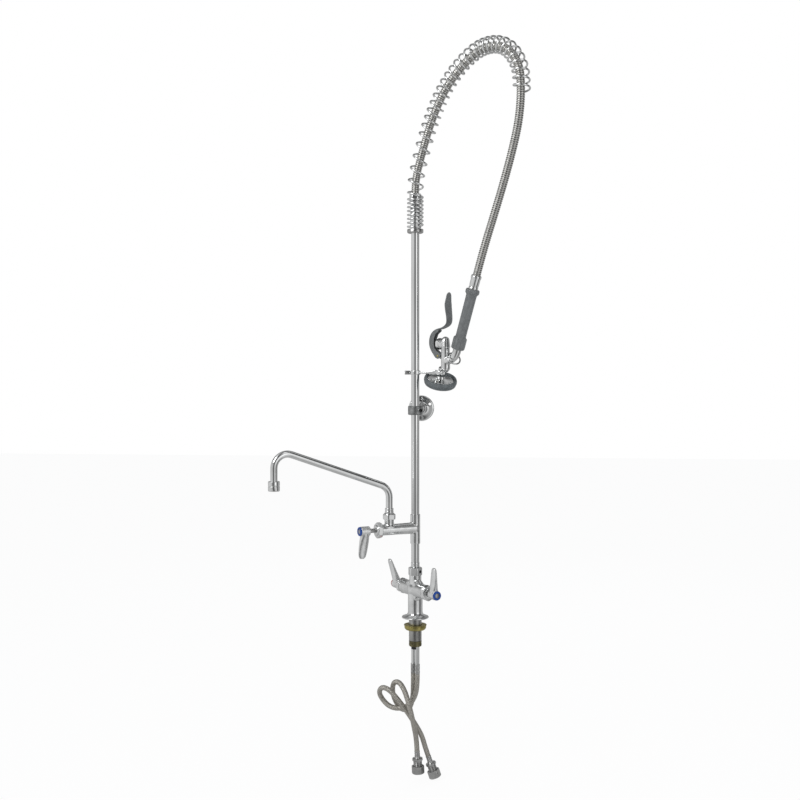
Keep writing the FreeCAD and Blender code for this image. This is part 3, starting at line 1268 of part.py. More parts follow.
def inset(points, depth):
    """The outline moved inwards by the strap's thickness."""
    moved = []
    for index, (x, z) in enumerate(points):
        low = points[max(index - 1, 0)]
        high = points[min(index + 1, len(points) - 1)]
        along = Vector(high[0] - low[0], 0, high[1] - low[1]).normalize()
        moved.append((x - along.z * depth, z + along.x * depth))
    return moved


def flat_outline(points, low, high):
    """A closed outline in the lever's plane, given thickness across it."""
    corners = [Vector(x, low, z) for x, z in points]
    face = Part.Face(Part.makePolygon(corners + corners[:1]))
    return face.extrude(Vector(0, high - low, 0))


def smooth_strip(outer, inner, low, high):
    """A strip between two smooth curves, given thickness across it."""
    curves = []
    for row in (outer, inner):
        curve = Part.BSplineCurve()
        curve.interpolate([Vector(x, low, z) for x, z in row])
        curves.append(curve.toShape())
    ends = [Part.LineSegment(Vector(outer[index][0], low, outer[index][1]),
                             Vector(inner[index][0], low, inner[index][1])).toShape() for index in (0, -1)]
    face = Part.Face(Part.Wire([curves[0], ends[1], curves[1], ends[0]]))
    return face.extrude(Vector(0, high - low, 0))


def squeeze_lever():
    """Strap, channel sides and the ears round the pin."""
    half = size("channel_outside")
    wide = max(width for height, width in BLADE_WIDTHS)
    outer = LEVER_OUTSIDE + [LEVER_TIP]
    strap = smooth_strip(outer, inset(outer, size("strap_thick")), -wide, wide)
    plan = [Vector(TRIM_REACH, width, height) for height, width in BLADE_WIDTHS]
    plan += [Vector(TRIM_REACH, -width, height) for height, width in reversed(BLADE_WIDTHS)]
    window = Part.Face(Part.makePolygon(plan + plan[:1])).extrude(Vector(-2 * TRIM_REACH, 0, 0))
    strap = strap.common(window)
    sides = []
    for sign in (1, -1):
        low, high = sorted((sign * size("channel_inside"), sign * half))
        sides.append(flat_outline(CHANNEL_FOOT + LEVER_OUTSIDE[:8] + CHANNEL_EDGE[::-1], low, high))
        sides.append(Part.makeCylinder(size("ear_radius"), high - low,
                                       Vector(size("pin_place"), low, size("pin_lift")), Vector(0, 1, 0)))
    whole = strap.fuse(sides).removeSplitter()
    pin_hole = Part.makeCylinder(size("pin_radius"), 4 * half, Vector(size("pin_place"), -2 * half, size("pin_lift")),
                                 Vector(0, 1, 0))
    return whole.cut(pin_hole)


node(shaped("squeeze_lever", squeeze_lever(), VALVE))
PIN = VALVE + " * " + place("pin_place", "channel_outside + pin_show", "pin_lift", about="x", angle=90)
node(cylinder("lever_pin", PIN, 0, "2 * (channel_outside + pin_show)", "pin_radius"))

# Hold-down ring, hanging on the elbow
RING = (VALVE + " * " + place("-ring_back", 0, "-ring_drop", angle="-ring_aside") + " * "
        + place(about="y", angle="ring_lean") + " * "
        + place(x="ring_radius - ring_wire - elbow_radius * 1.06 - end_gap"))
node(torus("hold_down_ring", RING, 0, "ring_radius", "ring_wire"))

# Spray head: face, screw and bumper
face_top = "bumper_height - bumper_lip + end_gap"


def spray_hole(number, ring, count):
    """One hole of the spray pattern."""
    frame = HEAD + " * " + place(angle="%f" % (360.0 * number / count)) + " * " + place(x="plate_radius * %s" % ring)
    return cylinder("spray_hole_%s_%d" % (str(ring).replace(".", "_"), number), frame, face_top, "face_thick",
                    "face_hole_radius")


spray_holes = [spray_hole(number, ring, count) for ring, count in ((0.36, 6), (0.58, 12), (0.78, 18))
               for number in range(count)]
node(cut(
    "spray_face",
    cylinder("face_disc", HEAD, face_top, "face_thick", "bumper_lip_bore - fit_gap"),
    cylinder("face_screw_way", HEAD, face_top, "face_thick", "face_screw_radius + fit_gap"),
    *spray_holes,
))
node(fuse(
    "face_screw",
    cylinder("face_screw_thread", HEAD, "plate_top + plate_thick / 2 + end_gap",
             "%s + face_thick - plate_top - plate_thick / 2 - end_gap" % face_top, "face_screw_radius"),
    cone("face_screw_cap", HEAD, face_top + " + face_thick", "face_screw_radius", "face_screw_head",
         "face_screw_head - 1"),
))
node(cut(
    "bumper",
    fuse("bumper_blank",
         cylinder("bumper_drum", HEAD, 0, "bumper_height - bumper_round", "bumper_radius"),
         cylinder("bumper_floor", HEAD, 0, "bumper_height", "bumper_radius - bumper_round"),
         torus("bumper_edge", HEAD, "bumper_height - bumper_round", "bumper_radius - bumper_round",
               "bumper_round")),
    cylinder("bumper_upper_hole", HEAD, "-bumper_round", "bumper_height - bumper_lip + bumper_round",
             "bumper_top_bore"),
    cylinder("bumper_lower_hole", HEAD, 0, "bumper_height", "bumper_lip_bore"),
))

# Supply hoses: middle of each hose from its ferrule to its end fitting
COLD_HOSE_ROUTE = [(0.5, -5.1, -165), (-12, -7, -184.5), (-32.5, -6.5, -192.5), (-54, -1, -191),
                   (-70.5, 5, -178), (-78, -1, -160), (-70, -11.5, -145.5), (-53, -20.5, -148.5),
                   (-37, -22.5, -165.5), (-22.5, -20.5, -184.5), (-8, -17, -206), (6, -13, -229.5),
                   (15.5, -9, -249), (21.5, -7.8, -270.8), (28, -7.1, -289.8)]
HOT_HOSE_ROUTE = [(-5.5, 6.5, -172), (-13, 10.5, -198), (-31, 11.5, -200.5), (-44, 9.5, -181),
                  (-50, 6.5, -159), (-46.5, 0.5, -138), (-32.5, -10.5, -134.5), (-20, -23, -149.5),
                  (-11.5, -32, -171), (-5, -34.5, -195), (-0.5, -30.5, -218.5), (2.5, -22.5, -239),
                  (4.3, -17.4, -258), (5.3, -17.4, -276.3)]


def supply_route(side, chosen):
    """Route of a supply hose: straight down out of its ferrule, then through the chosen points."""
    turn = math.radians(size("tube_turn"))
    reach = side * size("tube_spread")
    top = -size("tube_drop") - size("top_ferrule_length")
    start = Vector(reach * math.cos(turn), reach * math.sin(turn), top)
    return [start, start - Vector(0, 0, size("supply_lead"))] + [Vector(*point) for point in chosen]


def supply_end(route):
    """The placement of a hose's end fitting: Z runs on out of the hose."""
    ahead = (route[-1] - route[-2]).normalize()
    return Placement(route[-1], Rotation(Vector(0, 0, 1), ahead))


# Share of a coupling nut's corners left after turning, and where a stop valve's thread ends inside it
CORNER_SHARE = 0.95
MATE_DEPTH = 4


def end_fitting(route):
    """Ferrule, collar and threaded barrel at a hose's lower end."""
    steps = [(size("end_ferrule_radius"), size("end_ferrule_length")),
             (size("end_collar_radius"), size("end_collar_height")),
             (size("end_thread_radius"), size("end_thread_length") + size("coupling_grip"))]
    height = 0
    solids = []
    for radius, length in steps:
        solids.append(Part.makeCylinder(radius, length, Vector(0, 0, height)))
        height += length
    solid = solids[0].fuse(solids[1:]).removeSplitter()
    solid = solid.cut(Part.makeCylinder(size("supply_bore"), height))
    solid.Placement = supply_end(route)
    return solid


def coupling_nut(route):
    """Hexagon nut over the threaded barrel."""
    foot = size("end_ferrule_length") + size("end_collar_height") + size("end_thread_length")
    height = size("coupling_height")
    corner = size("coupling_across") / 2 * size("hex_factor")
    corners = [Vector(corner * math.cos(math.radians(60 * side)), corner * math.sin(math.radians(60 * side)), foot)
               for side in range(6)]
    nut = Part.Face(Part.makePolygon(corners + corners[:1])).extrude(Vector(0, 0, height))
    round_off = Part.makeCylinder(corner * CORNER_SHARE, height, Vector(0, 0, foot))
    nut = nut.common(round_off)
    grip = size("coupling_grip") + size("end_gap")
    nut = nut.cut(Part.makeCylinder(size("end_thread_radius") + size("fit_gap"), height, Vector(0, 0, foot)))
    nut = nut.cut(Part.makeCylinder(size("coupling_bore"), height, Vector(0, 0, foot + grip)))
    nut.Placement = supply_end(route)
    return nut


supply_routes = {"supply_hose_cold": supply_route(1, COLD_HOSE_ROUTE),
                 "supply_hose_hot": supply_route(-1, HOT_HOSE_ROUTE)}
for hose_name, hose_route_points in supply_routes.items():
    nut_middle = (size("end_ferrule_length") + size("end_collar_height") + size("end_thread_length")
                  + size("coupling_height") - MATE_DEPTH)
    end_place = supply_end(hose_route_points)
    print(hose_name, "nut's mouth at", end_place.multVec(Vector(0, 0, nut_middle)), "along",
          end_place.Rotation.multVec(Vector(0, 0, 1)))
    supply_edges, supply_radii = rounded_route(hose_route_points)
    tube = swept_tube(supply_edges, size("supply_radius"))
    length = sum(edge.Length for edge in supply_edges)
    print(hose_name, "length %.0f mm, radii" % length, [round(radius) for radius in supply_radii],
          "volume over section times length %.4f" % (tube.Volume / (math.pi * size("supply_radius") ** 2 * length)))
    node(shaped(hose_name, tube))
node(shaped("hose_end_fittings", Part.makeCompound([end_fitting(route) for route in supply_routes.values()])))
node(shaped("coupling_nuts", Part.makeCompound([coupling_nut(route) for route in supply_routes.values()])))

# Check every object, then write each piece
doc.recompute()
faults = []
for item in doc.Objects:
    if "Invalid" in item.State or "Error" in item.State:
        faults.append("%s failed" % item.Name)
for item in nodes:
    if item.Shape.isNull() or not item.Shape.isValid():
        faults.append("%s has no valid shape" % item.Name)
if faults:
    raise RuntimeError("; ".join(faults))

os.makedirs("parts", exist_ok=True)
for item in nodes:
    item.Shape.exportStep("parts/%s.step" % item.Label)
print(len(nodes), "pieces written")
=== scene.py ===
import math

import bmesh
import bpy
from bpy.props import FloatProperty, FloatVectorProperty, IntProperty, PointerProperty
from mathutils import Matrix, Vector


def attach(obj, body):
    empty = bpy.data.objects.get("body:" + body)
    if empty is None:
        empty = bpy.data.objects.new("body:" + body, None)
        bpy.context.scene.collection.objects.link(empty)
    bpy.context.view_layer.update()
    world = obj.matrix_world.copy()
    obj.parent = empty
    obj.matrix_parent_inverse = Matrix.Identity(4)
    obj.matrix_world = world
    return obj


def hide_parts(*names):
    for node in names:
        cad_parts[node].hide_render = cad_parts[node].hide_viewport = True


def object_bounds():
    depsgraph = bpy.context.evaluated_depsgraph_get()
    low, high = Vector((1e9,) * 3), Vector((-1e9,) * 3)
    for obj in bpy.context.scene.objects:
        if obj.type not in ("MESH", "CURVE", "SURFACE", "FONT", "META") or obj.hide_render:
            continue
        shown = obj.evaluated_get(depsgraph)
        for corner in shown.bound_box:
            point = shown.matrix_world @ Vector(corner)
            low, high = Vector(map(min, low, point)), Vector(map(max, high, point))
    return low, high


bl_info = {
    "name": "Pre-rinse faucet",
    "version": (1, 0, 0),
    "blender": (4, 5, 0),
    "location": "3D View > Sidebar > Faucet",
    "description": "Modelled pieces and finishes for a pre-rinse faucet with an add-on spout",
    "category": "Object",
}

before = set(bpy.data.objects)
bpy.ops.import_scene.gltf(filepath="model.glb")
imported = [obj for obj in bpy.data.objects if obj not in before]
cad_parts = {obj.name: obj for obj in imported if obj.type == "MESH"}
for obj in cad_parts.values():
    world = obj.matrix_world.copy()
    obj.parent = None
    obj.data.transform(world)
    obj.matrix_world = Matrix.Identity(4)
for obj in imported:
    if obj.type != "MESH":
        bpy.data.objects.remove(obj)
cad_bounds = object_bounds()

MM = 0.001
TURN = 2 * math.pi

# Places of the main parts, in millimetres and degrees
BARREL_HEIGHT = 60
NECK_TOP = 90
ADD_ON_HEIGHT = 190
SPOUT_PLACE = 61
RISER_TOP = 821
SPRING_FOOT = 823
HEX_FOOT = 880
HOSE_FOOT = 898
BRACKET_HEIGHT = 439
WALL_DISTANCE = 152.4
HOOK_HEIGHT = 519
COLD_TURN = -52.4
HOT_TURN = 127.6
ADD_ON_TURN = 211.7
ARCH_TURN = -39
TUBE_TURN = -38.7
TUBE_ASIDE = 5.7
SPOUT_REACH = 254

# Radii that several pieces share, in millimetres
PIPE_RADIUS = 8.575
WATER_RADIUS = 6.35
PIPE_BORE = 8.6
STEM_BORE = 4.56


# Placing and shaping helpers

def place(x=0.0, y=0.0, z=0.0, about="Z", angle=0.0):
    """A shift in millimetres and a turn in degrees about one axis."""
    return Matrix.Translation((x * MM, y * MM, z * MM)) @ Matrix.Rotation(math.radians(angle), 4, about)


def outward(height, turn):
    """Z points level and outwards, X points down."""
    return place(z=height, angle=turn) @ place(about="Y", angle=90)


UPRIGHT = place()
COLD = outward(BARREL_HEIGHT, COLD_TURN)
HOT = outward(BARREL_HEIGHT, HOT_TURN)
ADD_ON = outward(ADD_ON_HEIGHT, ADD_ON_TURN)
SPOUT = place(angle=ADD_ON_TURN) @ place(x=SPOUT_PLACE)
WALL = place(z=BRACKET_HEIGHT) @ place(about="X", angle=-90)
HOOK = place(z=HOOK_HEIGHT, angle=-11.2)
THUMB_SCREW = outward(HOOK_HEIGHT, 186)
NUT_SCREW = outward(98.25, -34)
CLAMP_SCREW = outward(BRACKET_HEIGHT, -42)
SIDE_PLUG = outward(46, -69)
VALVE = place(65.06, -14.38, 554, angle=141)
GRIP = VALVE @ place(-33.8, 0, 14, about="Y", angle=-19.4)
PLUNGER = VALVE @ place(z=25.7, about="Y", angle=90)
HEAD = VALVE @ place(13.4, 0, -46, angle=-31.1) @ place(about="Y", angle=153.1)


def turned(profile, place_at=UPRIGHT, segments=72, closed=False):
    """A piece turned from a profile of radius and height, in millimetres."""
    bm = bmesh.new()
    verts = [bm.verts.new((radius * MM, 0, height * MM)) for radius, height in profile]
    pairs = list(zip(verts, verts[1:]))
    if closed:
        pairs.append((verts[-1], verts[0]))
    edges = [bm.edges.new(pair) for pair in pairs]
    bmesh.ops.spin(bm, geom=verts + edges, cent=(0, 0, 0), axis=(0, 0, 1), dvec=(0, 0, 0), angle=TURN,
                   steps=segments, use_merge=True, use_duplicate=False)
    bmesh.ops.remove_doubles(bm, verts=bm.verts, dist=1e-7)
    bmesh.ops.recalc_face_normals(bm, faces=bm.faces)
    bmesh.ops.transform(bm, matrix=place_at, verts=bm.verts)
    return bm


def drum(place_at, foot, length, radius, top=None, segments=64):
    """A solid cylinder or cone."""
    bm = bmesh.new()
    bmesh.ops.create_cone(bm, cap_ends=True, segments=segments, radius1=radius * MM,
                          radius2=(radius if top is None else top) * MM, depth=length * MM,
                          matrix=place_at @ place(z=foot + length / 2))
    return bm


def ball(place_at, radius, segments=48):
    bm = bmesh.new()
    bmesh.ops.create_uvsphere(bm, u_segments=segments, v_segments=segments // 2, radius=radius * MM,
                              matrix=place_at)
    return bm


def block(place_at, low, high):
    """A box between two corners, in millimetres."""
    bm = bmesh.new()
    size = [high[axis] - low[axis] for axis in range(3)]
    middle = [(high[axis] + low[axis]) / 2 for axis in range(3)]
    bmesh.ops.create_cube(bm, size=MM, matrix=place_at @ place(*middle) @ Matrix.Diagonal((*size, 1)))
    return bm


def angles(count):
    """Angles all the way round."""
    return [TURN * step / count for step in range(count)]


def boxed(value, power):
    """A sine or cosine that runs round a box with soft corners."""
    return math.copysign(abs(value) ** power, value)


def lofted(rings):
    """A closed skin through rings of points, each ring in order."""
    bm = bmesh.new()
    loops = []
    for ring in rings:
        verts = [bm.verts.new(point) for point in ring]
        loops.append([bm.edges.new(pair) for pair in zip(verts, verts[1:] + verts[:1])])
    for low, high in zip(loops, loops[1:]):
        bmesh.ops.bridge_loops(bm, edges=low + high)
    for loop in (loops[0], loops[-1]):
        bmesh.ops.contextual_create(bm, geom=loop)
    bmesh.ops.recalc_face_normals(bm, faces=bm.faces)
    return bm


def flat_sides(bm, place_at, across, sides=6):
    """Press flats onto a turned blank."""
    into = place_at.inverted()
    reach = across / 2 * MM
    for vert in bm.verts:
        local = into @ vert.co
        for side in range(sides):
            angle = TURN * side / sides + TURN / 12
            normal = Vector((math.cos(angle), math.sin(angle), 0))
            past = local.dot(normal) - reach
            if past > 0:
                local -= normal * past
        vert.co = place_at @ local
    bmesh.ops.recalc_face_normals(bm, faces=bm.faces)
    return bm


def nut(place_at, foot, height, across, corner, bore, bevel=1.6, sides=6):
    """A nut with turned-off corners."""
    rings = 5
    profile = [(bore, foot)]
    for step in range(rings + 1):
        profile.append((corner - bevel + bevel * math.sin(step / rings * TURN / 4),
                        foot + bevel * 0.75 * (1 - math.cos(step / rings * TURN / 4))))
    profile.append((corner, foot + height / 2))
    for step in range(rings, -1, -1):
        profile.append((corner - bevel + bevel * math.sin(step / rings * TURN / 4),
                        foot + height - bevel * 0.75 * (1 - math.cos(step / rings * TURN / 4))))
    profile.append((bore, foot + height))
    return flat_sides(turned(profile, place_at, 144, closed=True), place_at, across, sides)


def merged(*meshes):
    """Several shapes in one mesh."""
    whole = bmesh.new()
    for bm in meshes:
        carrier = bpy.data.meshes.new("carrier")
        bm.to_mesh(carrier)
        bm.free()
        whole.from_mesh(carrier)
        bpy.data.meshes.remove(carrier)
    return whole


def worked(bm, kind, **settings):
    """The shape after one modifier."""
    carrier = bpy.data.meshes.new("carrier")
    bm.to_mesh(carrier)
    bm.free()
    holder = bpy.data.objects.new("holder", carrier)
    bpy.context.scene.collection.objects.link(holder)
    modifier = holder.modifiers.new("work", kind)
    for name, value in settings.items():
        setattr(modifier, name, value)
    bpy.context.view_layer.update()
    result = bpy.data.meshes.new_from_object(holder.evaluated_get(bpy.context.evaluated_depsgraph_get()))
    shaped = bmesh.new()
    shaped.from_mesh(result)
    bpy.data.objects.remove(holder)
    bpy.data.meshes.remove(carrier)
    bpy.data.meshes.remove(result)
    return shaped


def carved(bm, *cutters):
    """The shape with other shapes taken away."""
    for cutter in cutters:
        carrier = bpy.data.meshes.new("cutter")
        cutter.to_mesh(carrier)
        cutter.free()
        tool = bpy.data.objects.new("cutter", carrier)
        bpy.context.scene.collection.objects.link(tool)
        bm = worked(bm, "BOOLEAN", operation="DIFFERENCE", solver="EXACT", object=tool)
        bpy.data.objects.remove(tool)
        bpy.data.meshes.remove(carrier)
    return bm


def cast(blanks, grain, rounds, where=None, swell=0.0):
    """Shapes grown into one casting with soft inner corners, on a grid of the given grain in millimetres."""
    bm = worked(merged(*blanks), "REMESH", mode="VOXEL", voxel_size=grain * MM, adaptivity=0)
    for _ in range(rounds):
        verts = [vert for vert in bm.verts if where is None or where(vert.co)]
        bmesh.ops.smooth_vert(bm, verts=verts, factor=0.5, use_axis_x=True, use_axis_y=True, use_axis_z=True)
    if swell:
        bm.normal_update()
        for vert in bm.verts:
            vert.co += vert.normal * swell * MM
    return bm


def piece(name, bm, finish, *nodes, body="fixed_body", edge=0.0, slot=None, sharp=40):
    """A finished object that rides on a body of the frame, in place of the given nodes."""
    mesh = bpy.data.meshes.new(name)
    bm.to_mesh(mesh)
    bm.free()
    for polygon in mesh.polygons:
        polygon.use_smooth = True
    mesh.materials.append(finishes[finish])
    item = bpy.data.objects.new(name, mesh)
    bpy.context.scene.collection.objects.link(item)
    if edge:
        bevel = item.modifiers.new("edge", "BEVEL")
        bevel.width = edge * MM
        bevel.segments = 3
        bevel.limit_method = "ANGLE"
        bevel.angle_limit = math.radians(32)
        bevel.harden_normals = True
    elif sharp:
        mesh.set_sharp_from_angle(angle=math.radians(sharp))
    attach(item, body)
    if nodes:
        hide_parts(*nodes)
    return item


# Lines and tubes

def smooth_line(points, steps=16):
    """Points read from the NURBS spline of a route given in metres."""
    curve = bpy.data.curves.new("route", "CURVE")
    curve.dimensions = "3D"
    curve.resolution_u = steps
    spline = curve.splines.new("NURBS")
    spline.points.add(len(points) - 1)
    for point, place_at in zip(spline.points, points):
        point.co = (*place_at, 1)
    spline.order_u = 3
    spline.use_endpoint_u = True
    holder = bpy.data.objects.new("route", curve)
    bpy.context.scene.collection.objects.link(holder)
    bpy.context.view_layer.update()
    mesh = bpy.data.meshes.new_from_object(holder)
    line = [vert.co.copy() for vert in mesh.vertices]
    bpy.data.objects.remove(holder)
    bpy.data.curves.remove(curve)
    bpy.data.meshes.remove(mesh)
    return line


class Line:
    """A dense line that gives its point and direction at any distance."""

    def __init__(self, points):
        self.points = points
        self.marks = [0.0]
        for low, high in zip(points, points[1:]):
            self.marks.append(self.marks[-1] + (high - low).length)
        self.length = self.marks[-1]

    def at(self, distance):
        distance = min(max(distance, 0.0), self.length)
        low, high = 0, len(self.marks) - 1
        while high - low > 1:
            middle = (low + high) // 2
            if self.marks[middle] <= distance:
                low = middle
            else:
                high = middle
        part = (distance - self.marks[low]) / (self.marks[high] - self.marks[low])
        return self.points[low].lerp(self.points[high], part)

    def way(self, distance, reach=0.002):
        return (self.at(distance + reach) - self.at(distance - reach)).normalized()


def tube(line, stations, sides, steady):
    """A tube turned straight from distances and radii in metres, then bent along the line.

    Its UV runs round the tube from 0 to 1, and along it in metres.
    """
    profile = [(radius / MM, distance / MM) for distance, radius in stations]
    profile = [(0, profile[0][1])] + profile + [(0, profile[-1][1])]
    bm = turned(profile, UPRIGHT, sides)
    uv = bm.loops.layers.uv.new("UVMap")
    for face in bm.faces:
        shares = [math.atan2(loop.vert.co.y, loop.vert.co.x) / TURN % 1 for loop in face.loops]
        for loop, share in zip(face.loops, shares):
            share += 1 if max(shares) - min(shares) > 0.5 and share < 0.5 else 0
            loop[uv].uv = (share, loop.vert.co.z)
    rings = {}
    for vert in bm.verts:
        rings.setdefault(round(vert.co.z, 7), []).append(vert)
    for distance, verts in rings.items():
        ahead = line.way(distance)
        across = (steady - ahead * steady.dot(ahead)).normalized()
        aside = ahead.cross(across)
        middle = line.at(distance)
        for vert in verts:
            vert.co = middle + across * vert.co.x + aside * vert.co.y
    bmesh.ops.recalc_face_normals(bm, faces=bm.faces)
    return bm


# Finishes

class Tree:
    """The shader nodes of a material or world."""

    def __init__(self, owner):
        owner.use_nodes = True
        self.nodes = owner.node_tree.nodes
        self.links = owner.node_tree.links

    def feed(self, node, inputs):
        """Give a node's inputs, each a value or the output of another node."""
        for name, value in inputs.items():
            if isinstance(value, bpy.types.NodeSocket):
                self.links.new(value, node.inputs[name])
            else:
                node.inputs[name].default_value = value

    def add(self, kind, output, inputs=None, **settings):
        """The named output of a new node."""
        node = self.nodes.new("ShaderNode" + kind)
        for name, value in settings.items():
            setattr(node, name, value)
        self.feed(node, inputs or {})
        return node.outputs[output]

    def parts(self, vector):
        """The X, Y and Z outputs of a vector."""
        node = self.nodes.new("ShaderNodeSeparateXYZ")
        self.feed(node, {"Vector": vector})
        return node.outputs

    def spread(self, source, low, high, start=0.3, end=0.7, **settings):
        """The source's range start to end, spread from low to high."""
        return self.add("MapRange", "Result", {"From Min": start, "From Max": end, "To Min": low,
            "To Max": high, "Value": source}, **settings)

    def sum(self, operation, *values):
        return self.add("Math", "Value", dict(enumerate(values)), operation=operation)

    def ramp(self, source, stops):
        """Colour that follows the source through stops of position and colour."""
        node = self.nodes.new("ShaderNodeValToRGB")
        elements = node.color_ramp.elements
        while len(elements) < len(stops):
            elements.new(0.5)
        for element, (position, colour) in zip(elements, stops):
            element.position = position
            element.color = colour
        self.feed(node, {"Fac": source})
        return node.outputs["Color"]

    def mixed_colour(self, share, first, second, kind="MIX"):
        return self.add("Mix", "Result", {"Factor": share, "A": first, "B": second}, data_type="RGBA",
                        blend_type=kind)

    def mixed_shader(self, share, first, second):
        return self.add("MixShader", "Shader", {"Fac": share, 1: first, 2: second})


class Finish(Tree):
    """A material made of nodes round one Principled shader."""

    def __init__(self, name, colour, metallic, roughness):
        self.material = bpy.data.materials.new(name)
        super().__init__(self.material)
        self.shader = self.nodes["Principled BSDF"]
        self.feed(self.shader, {"Base Color": (*colour, 1), "Metallic": metallic, "Roughness": roughness})
        self.where = self.add("TexCoord", "Object")

    def cloud(self, scale, detail, distortion=0.0):
        """Noise, about one blotch per 1/scale metres. Three scales draw the blotches out."""
        source = self.where
        if isinstance(scale, tuple):
            source = self.add("Mapping", "Vector", {"Scale": scale, "Vector": source})
            scale = 1
        return self.add("TexNoise", "Fac", {"Scale": scale, "Detail": detail, "Distortion": distortion,
                                            "Vector": source})

    def tint(self, source, first, second, low=0.3, high=0.7):
        """Base colour that runs between two colours with the source."""
        self.feed(self.shader, {"Base Color": self.ramp(source, [(low, (*first, 1)), (high, (*second, 1))])})

    def rough(self, source):
        self.feed(self.shader, {"Roughness": source})

    def bump(self, source, distance):
        """Relief, its height in metres."""
        relief = self.add("Bump", "Normal", {"Distance": distance, "Strength": 1.0, "Height": source})
        self.feed(self.shader, {"Normal": relief})


finishes = {}


def shade(colour, level):
    """A colour made darker or lighter."""
    return tuple(level * part for part in colour)


def worn(key, name, colour, metallic, roughness, rough, tint=None, bump=None):
    """A finish whose colour, roughness and relief each follow a noise of their own.

    Each starts with the noise's scale and detail. Then tint has its two colours and where they end,
    rough its distortion and its least and greatest roughness, and bump its height in metres.
    """
    finish = Finish(name, colour, metallic, roughness)
    if tint:
        scale, detail, *tones = tint
        finish.tint(finish.cloud(scale, detail), *tones)
    scale, detail, distortion, least, greatest = rough
    finish.rough(finish.spread(finish.cloud(scale, detail, distortion), least, greatest))
    if bump:
        scale, detail, height = bump
        finish.bump(finish.cloud(scale, detail), height)
    finishes[key] = finish.material


def make_metals(colours):
    """Plated, steel and brass finishes."""
    chrome = tuple(colours.chrome)
    dim = shade(chrome, 0.8)
    worn("chrome", "polished_chrome", chrome, 1.0, 0.06, tint=(28, 4, dim, chrome, 0.25, 0.6),
         rough=(90, 5, 0.4, 0.035, 0.13), bump=(60, 2, 0.00012))
    worn("casting", "chromed_casting", chrome, 1.0, 0.08, tint=(45, 4, dim, chrome, 0.28, 0.6),
         rough=(130, 5, 0.4, 0.1, 0.2), bump=(85, 2, 0.0003))
    worn("smooth", "smooth_casting", chrome, 1.0, 0.2, tint=(40, 3, shade(chrome, 0.9), shade(chrome, 1.08)),
         rough=(150, 4, 0, 0.1, 0.2), bump=(60, 2, 0.0001))
    worn("handle", "satin_handle_chrome", chrome, 1.0, 0.3,
         tint=(60, 4, shade(chrome, 0.9), shade(chrome, 1.1)), rough=(200, 5, 0.4, 0.26, 0.42),
         bump=(120, 3, 0.0002))
    worn("tube", "chromed_tube", chrome, 1.0, 0.06, tint=((40, 40, 6), 3, dim, chrome, 0.25, 0.6),
         rough=((220, 220, 14), 4, 0, 0.03, 0.12), bump=((90, 90, 6), 2, 0.00006))
    worn("spring", "spring_steel", colours.spring, 1.0, 0.12,
         tint=(150, 3, shade(colours.spring, 0.8), colours.spring), rough=(400, 4, 0, 0.07, 0.18))
    worn("satin", "satin_steel", (0.56, 0.565, 0.56), 1.0, 0.24,
         tint=(60, 4, (0.4, 0.4, 0.395), (0.6, 0.605, 0.6)), rough=((300, 300, 20), 4, 0, 0.16, 0.34))
    worn("shank", "shank_steel", (0.5, 0.5, 0.48), 1.0, 0.3,
         tint=((120, 120, 14), 4, (0.26, 0.26, 0.25), (0.6, 0.6, 0.585)), rough=(250, 4, 0, 0.2, 0.42))
    worn("clamp", "dull_clamp_metal", (0.36, 0.37, 0.37), 1.0, 0.4,
         tint=(120, 5, (0.24, 0.25, 0.25), (0.42, 0.43, 0.43)), rough=(300, 4, 0, 0.3, 0.55),
         bump=(700, 3, 0.0001))
    worn("brass", "aged_brass", colours.brass, 1.0, 0.34,
         tint=(160, 5, shade(colours.brass, 0.5), colours.brass), rough=(350, 4, 0, 0.26, 0.5),
         bump=(900, 3, 0.00008))
    worn("tarnished", "tarnished_brass", (0.22, 0.2, 0.11), 1.0, 0.42,
         tint=(140, 5, (0.1, 0.09, 0.055), (0.3, 0.275, 0.14)), rough=(300, 4, 0, 0.32, 0.55))
    worn("black", "oxidised_steel", (0.06, 0.06, 0.06), 1.0, 0.4,
         tint=(400, 4, (0.03, 0.03, 0.03), (0.09, 0.09, 0.09)), rough=(500, 3, 0, 0.3, 0.5))


def make_plastics(colours):
    """Plastic, coated and rubber finishes."""
    for key, colour in (("blue", colours.cold), ("red", colours.hot)):
        worn(key, key + "_index_plastic", colour, 0.0, 0.22, tint=(300, 3, shade(colour, 0.8), colour),
             rough=(500, 4, 0, 0.16, 0.32), bump=(900, 2, 0.00003))
    grip = colours.grip
    worn("grip", "grip_plastic", grip, 0.0, 0.36, tint=(90, 5, shade(grip, 0.8), shade(grip, 1.15)),
         rough=(200, 4, 0, 0.28, 0.46), bump=(1600, 3, 0.00008))
    worn("lever", "coated_lever", grip, 0.0, 0.4, tint=(70, 5, shade(grip, 0.85), shade(grip, 1.2)),
         rough=(260, 4, 0, 0.32, 0.52), bump=(1300, 3, 0.00007))
    bumper = colours.bumper
    worn("rubber", "bumper_rubber", bumper, 0.0, 0.62,
         tint=(110, 5, shade(bumper, 0.75), shade(bumper, 1.15)), rough=(300, 4, 0, 0.5, 0.75),
         bump=(1500, 4, 0.00012))
    worn("dark", "black_plastic", (0.012, 0.012, 0.013), 0.0, 0.5, rough=(300, 4, 0, 0.4, 0.65),
         bump=(1200, 3, 0.0001))


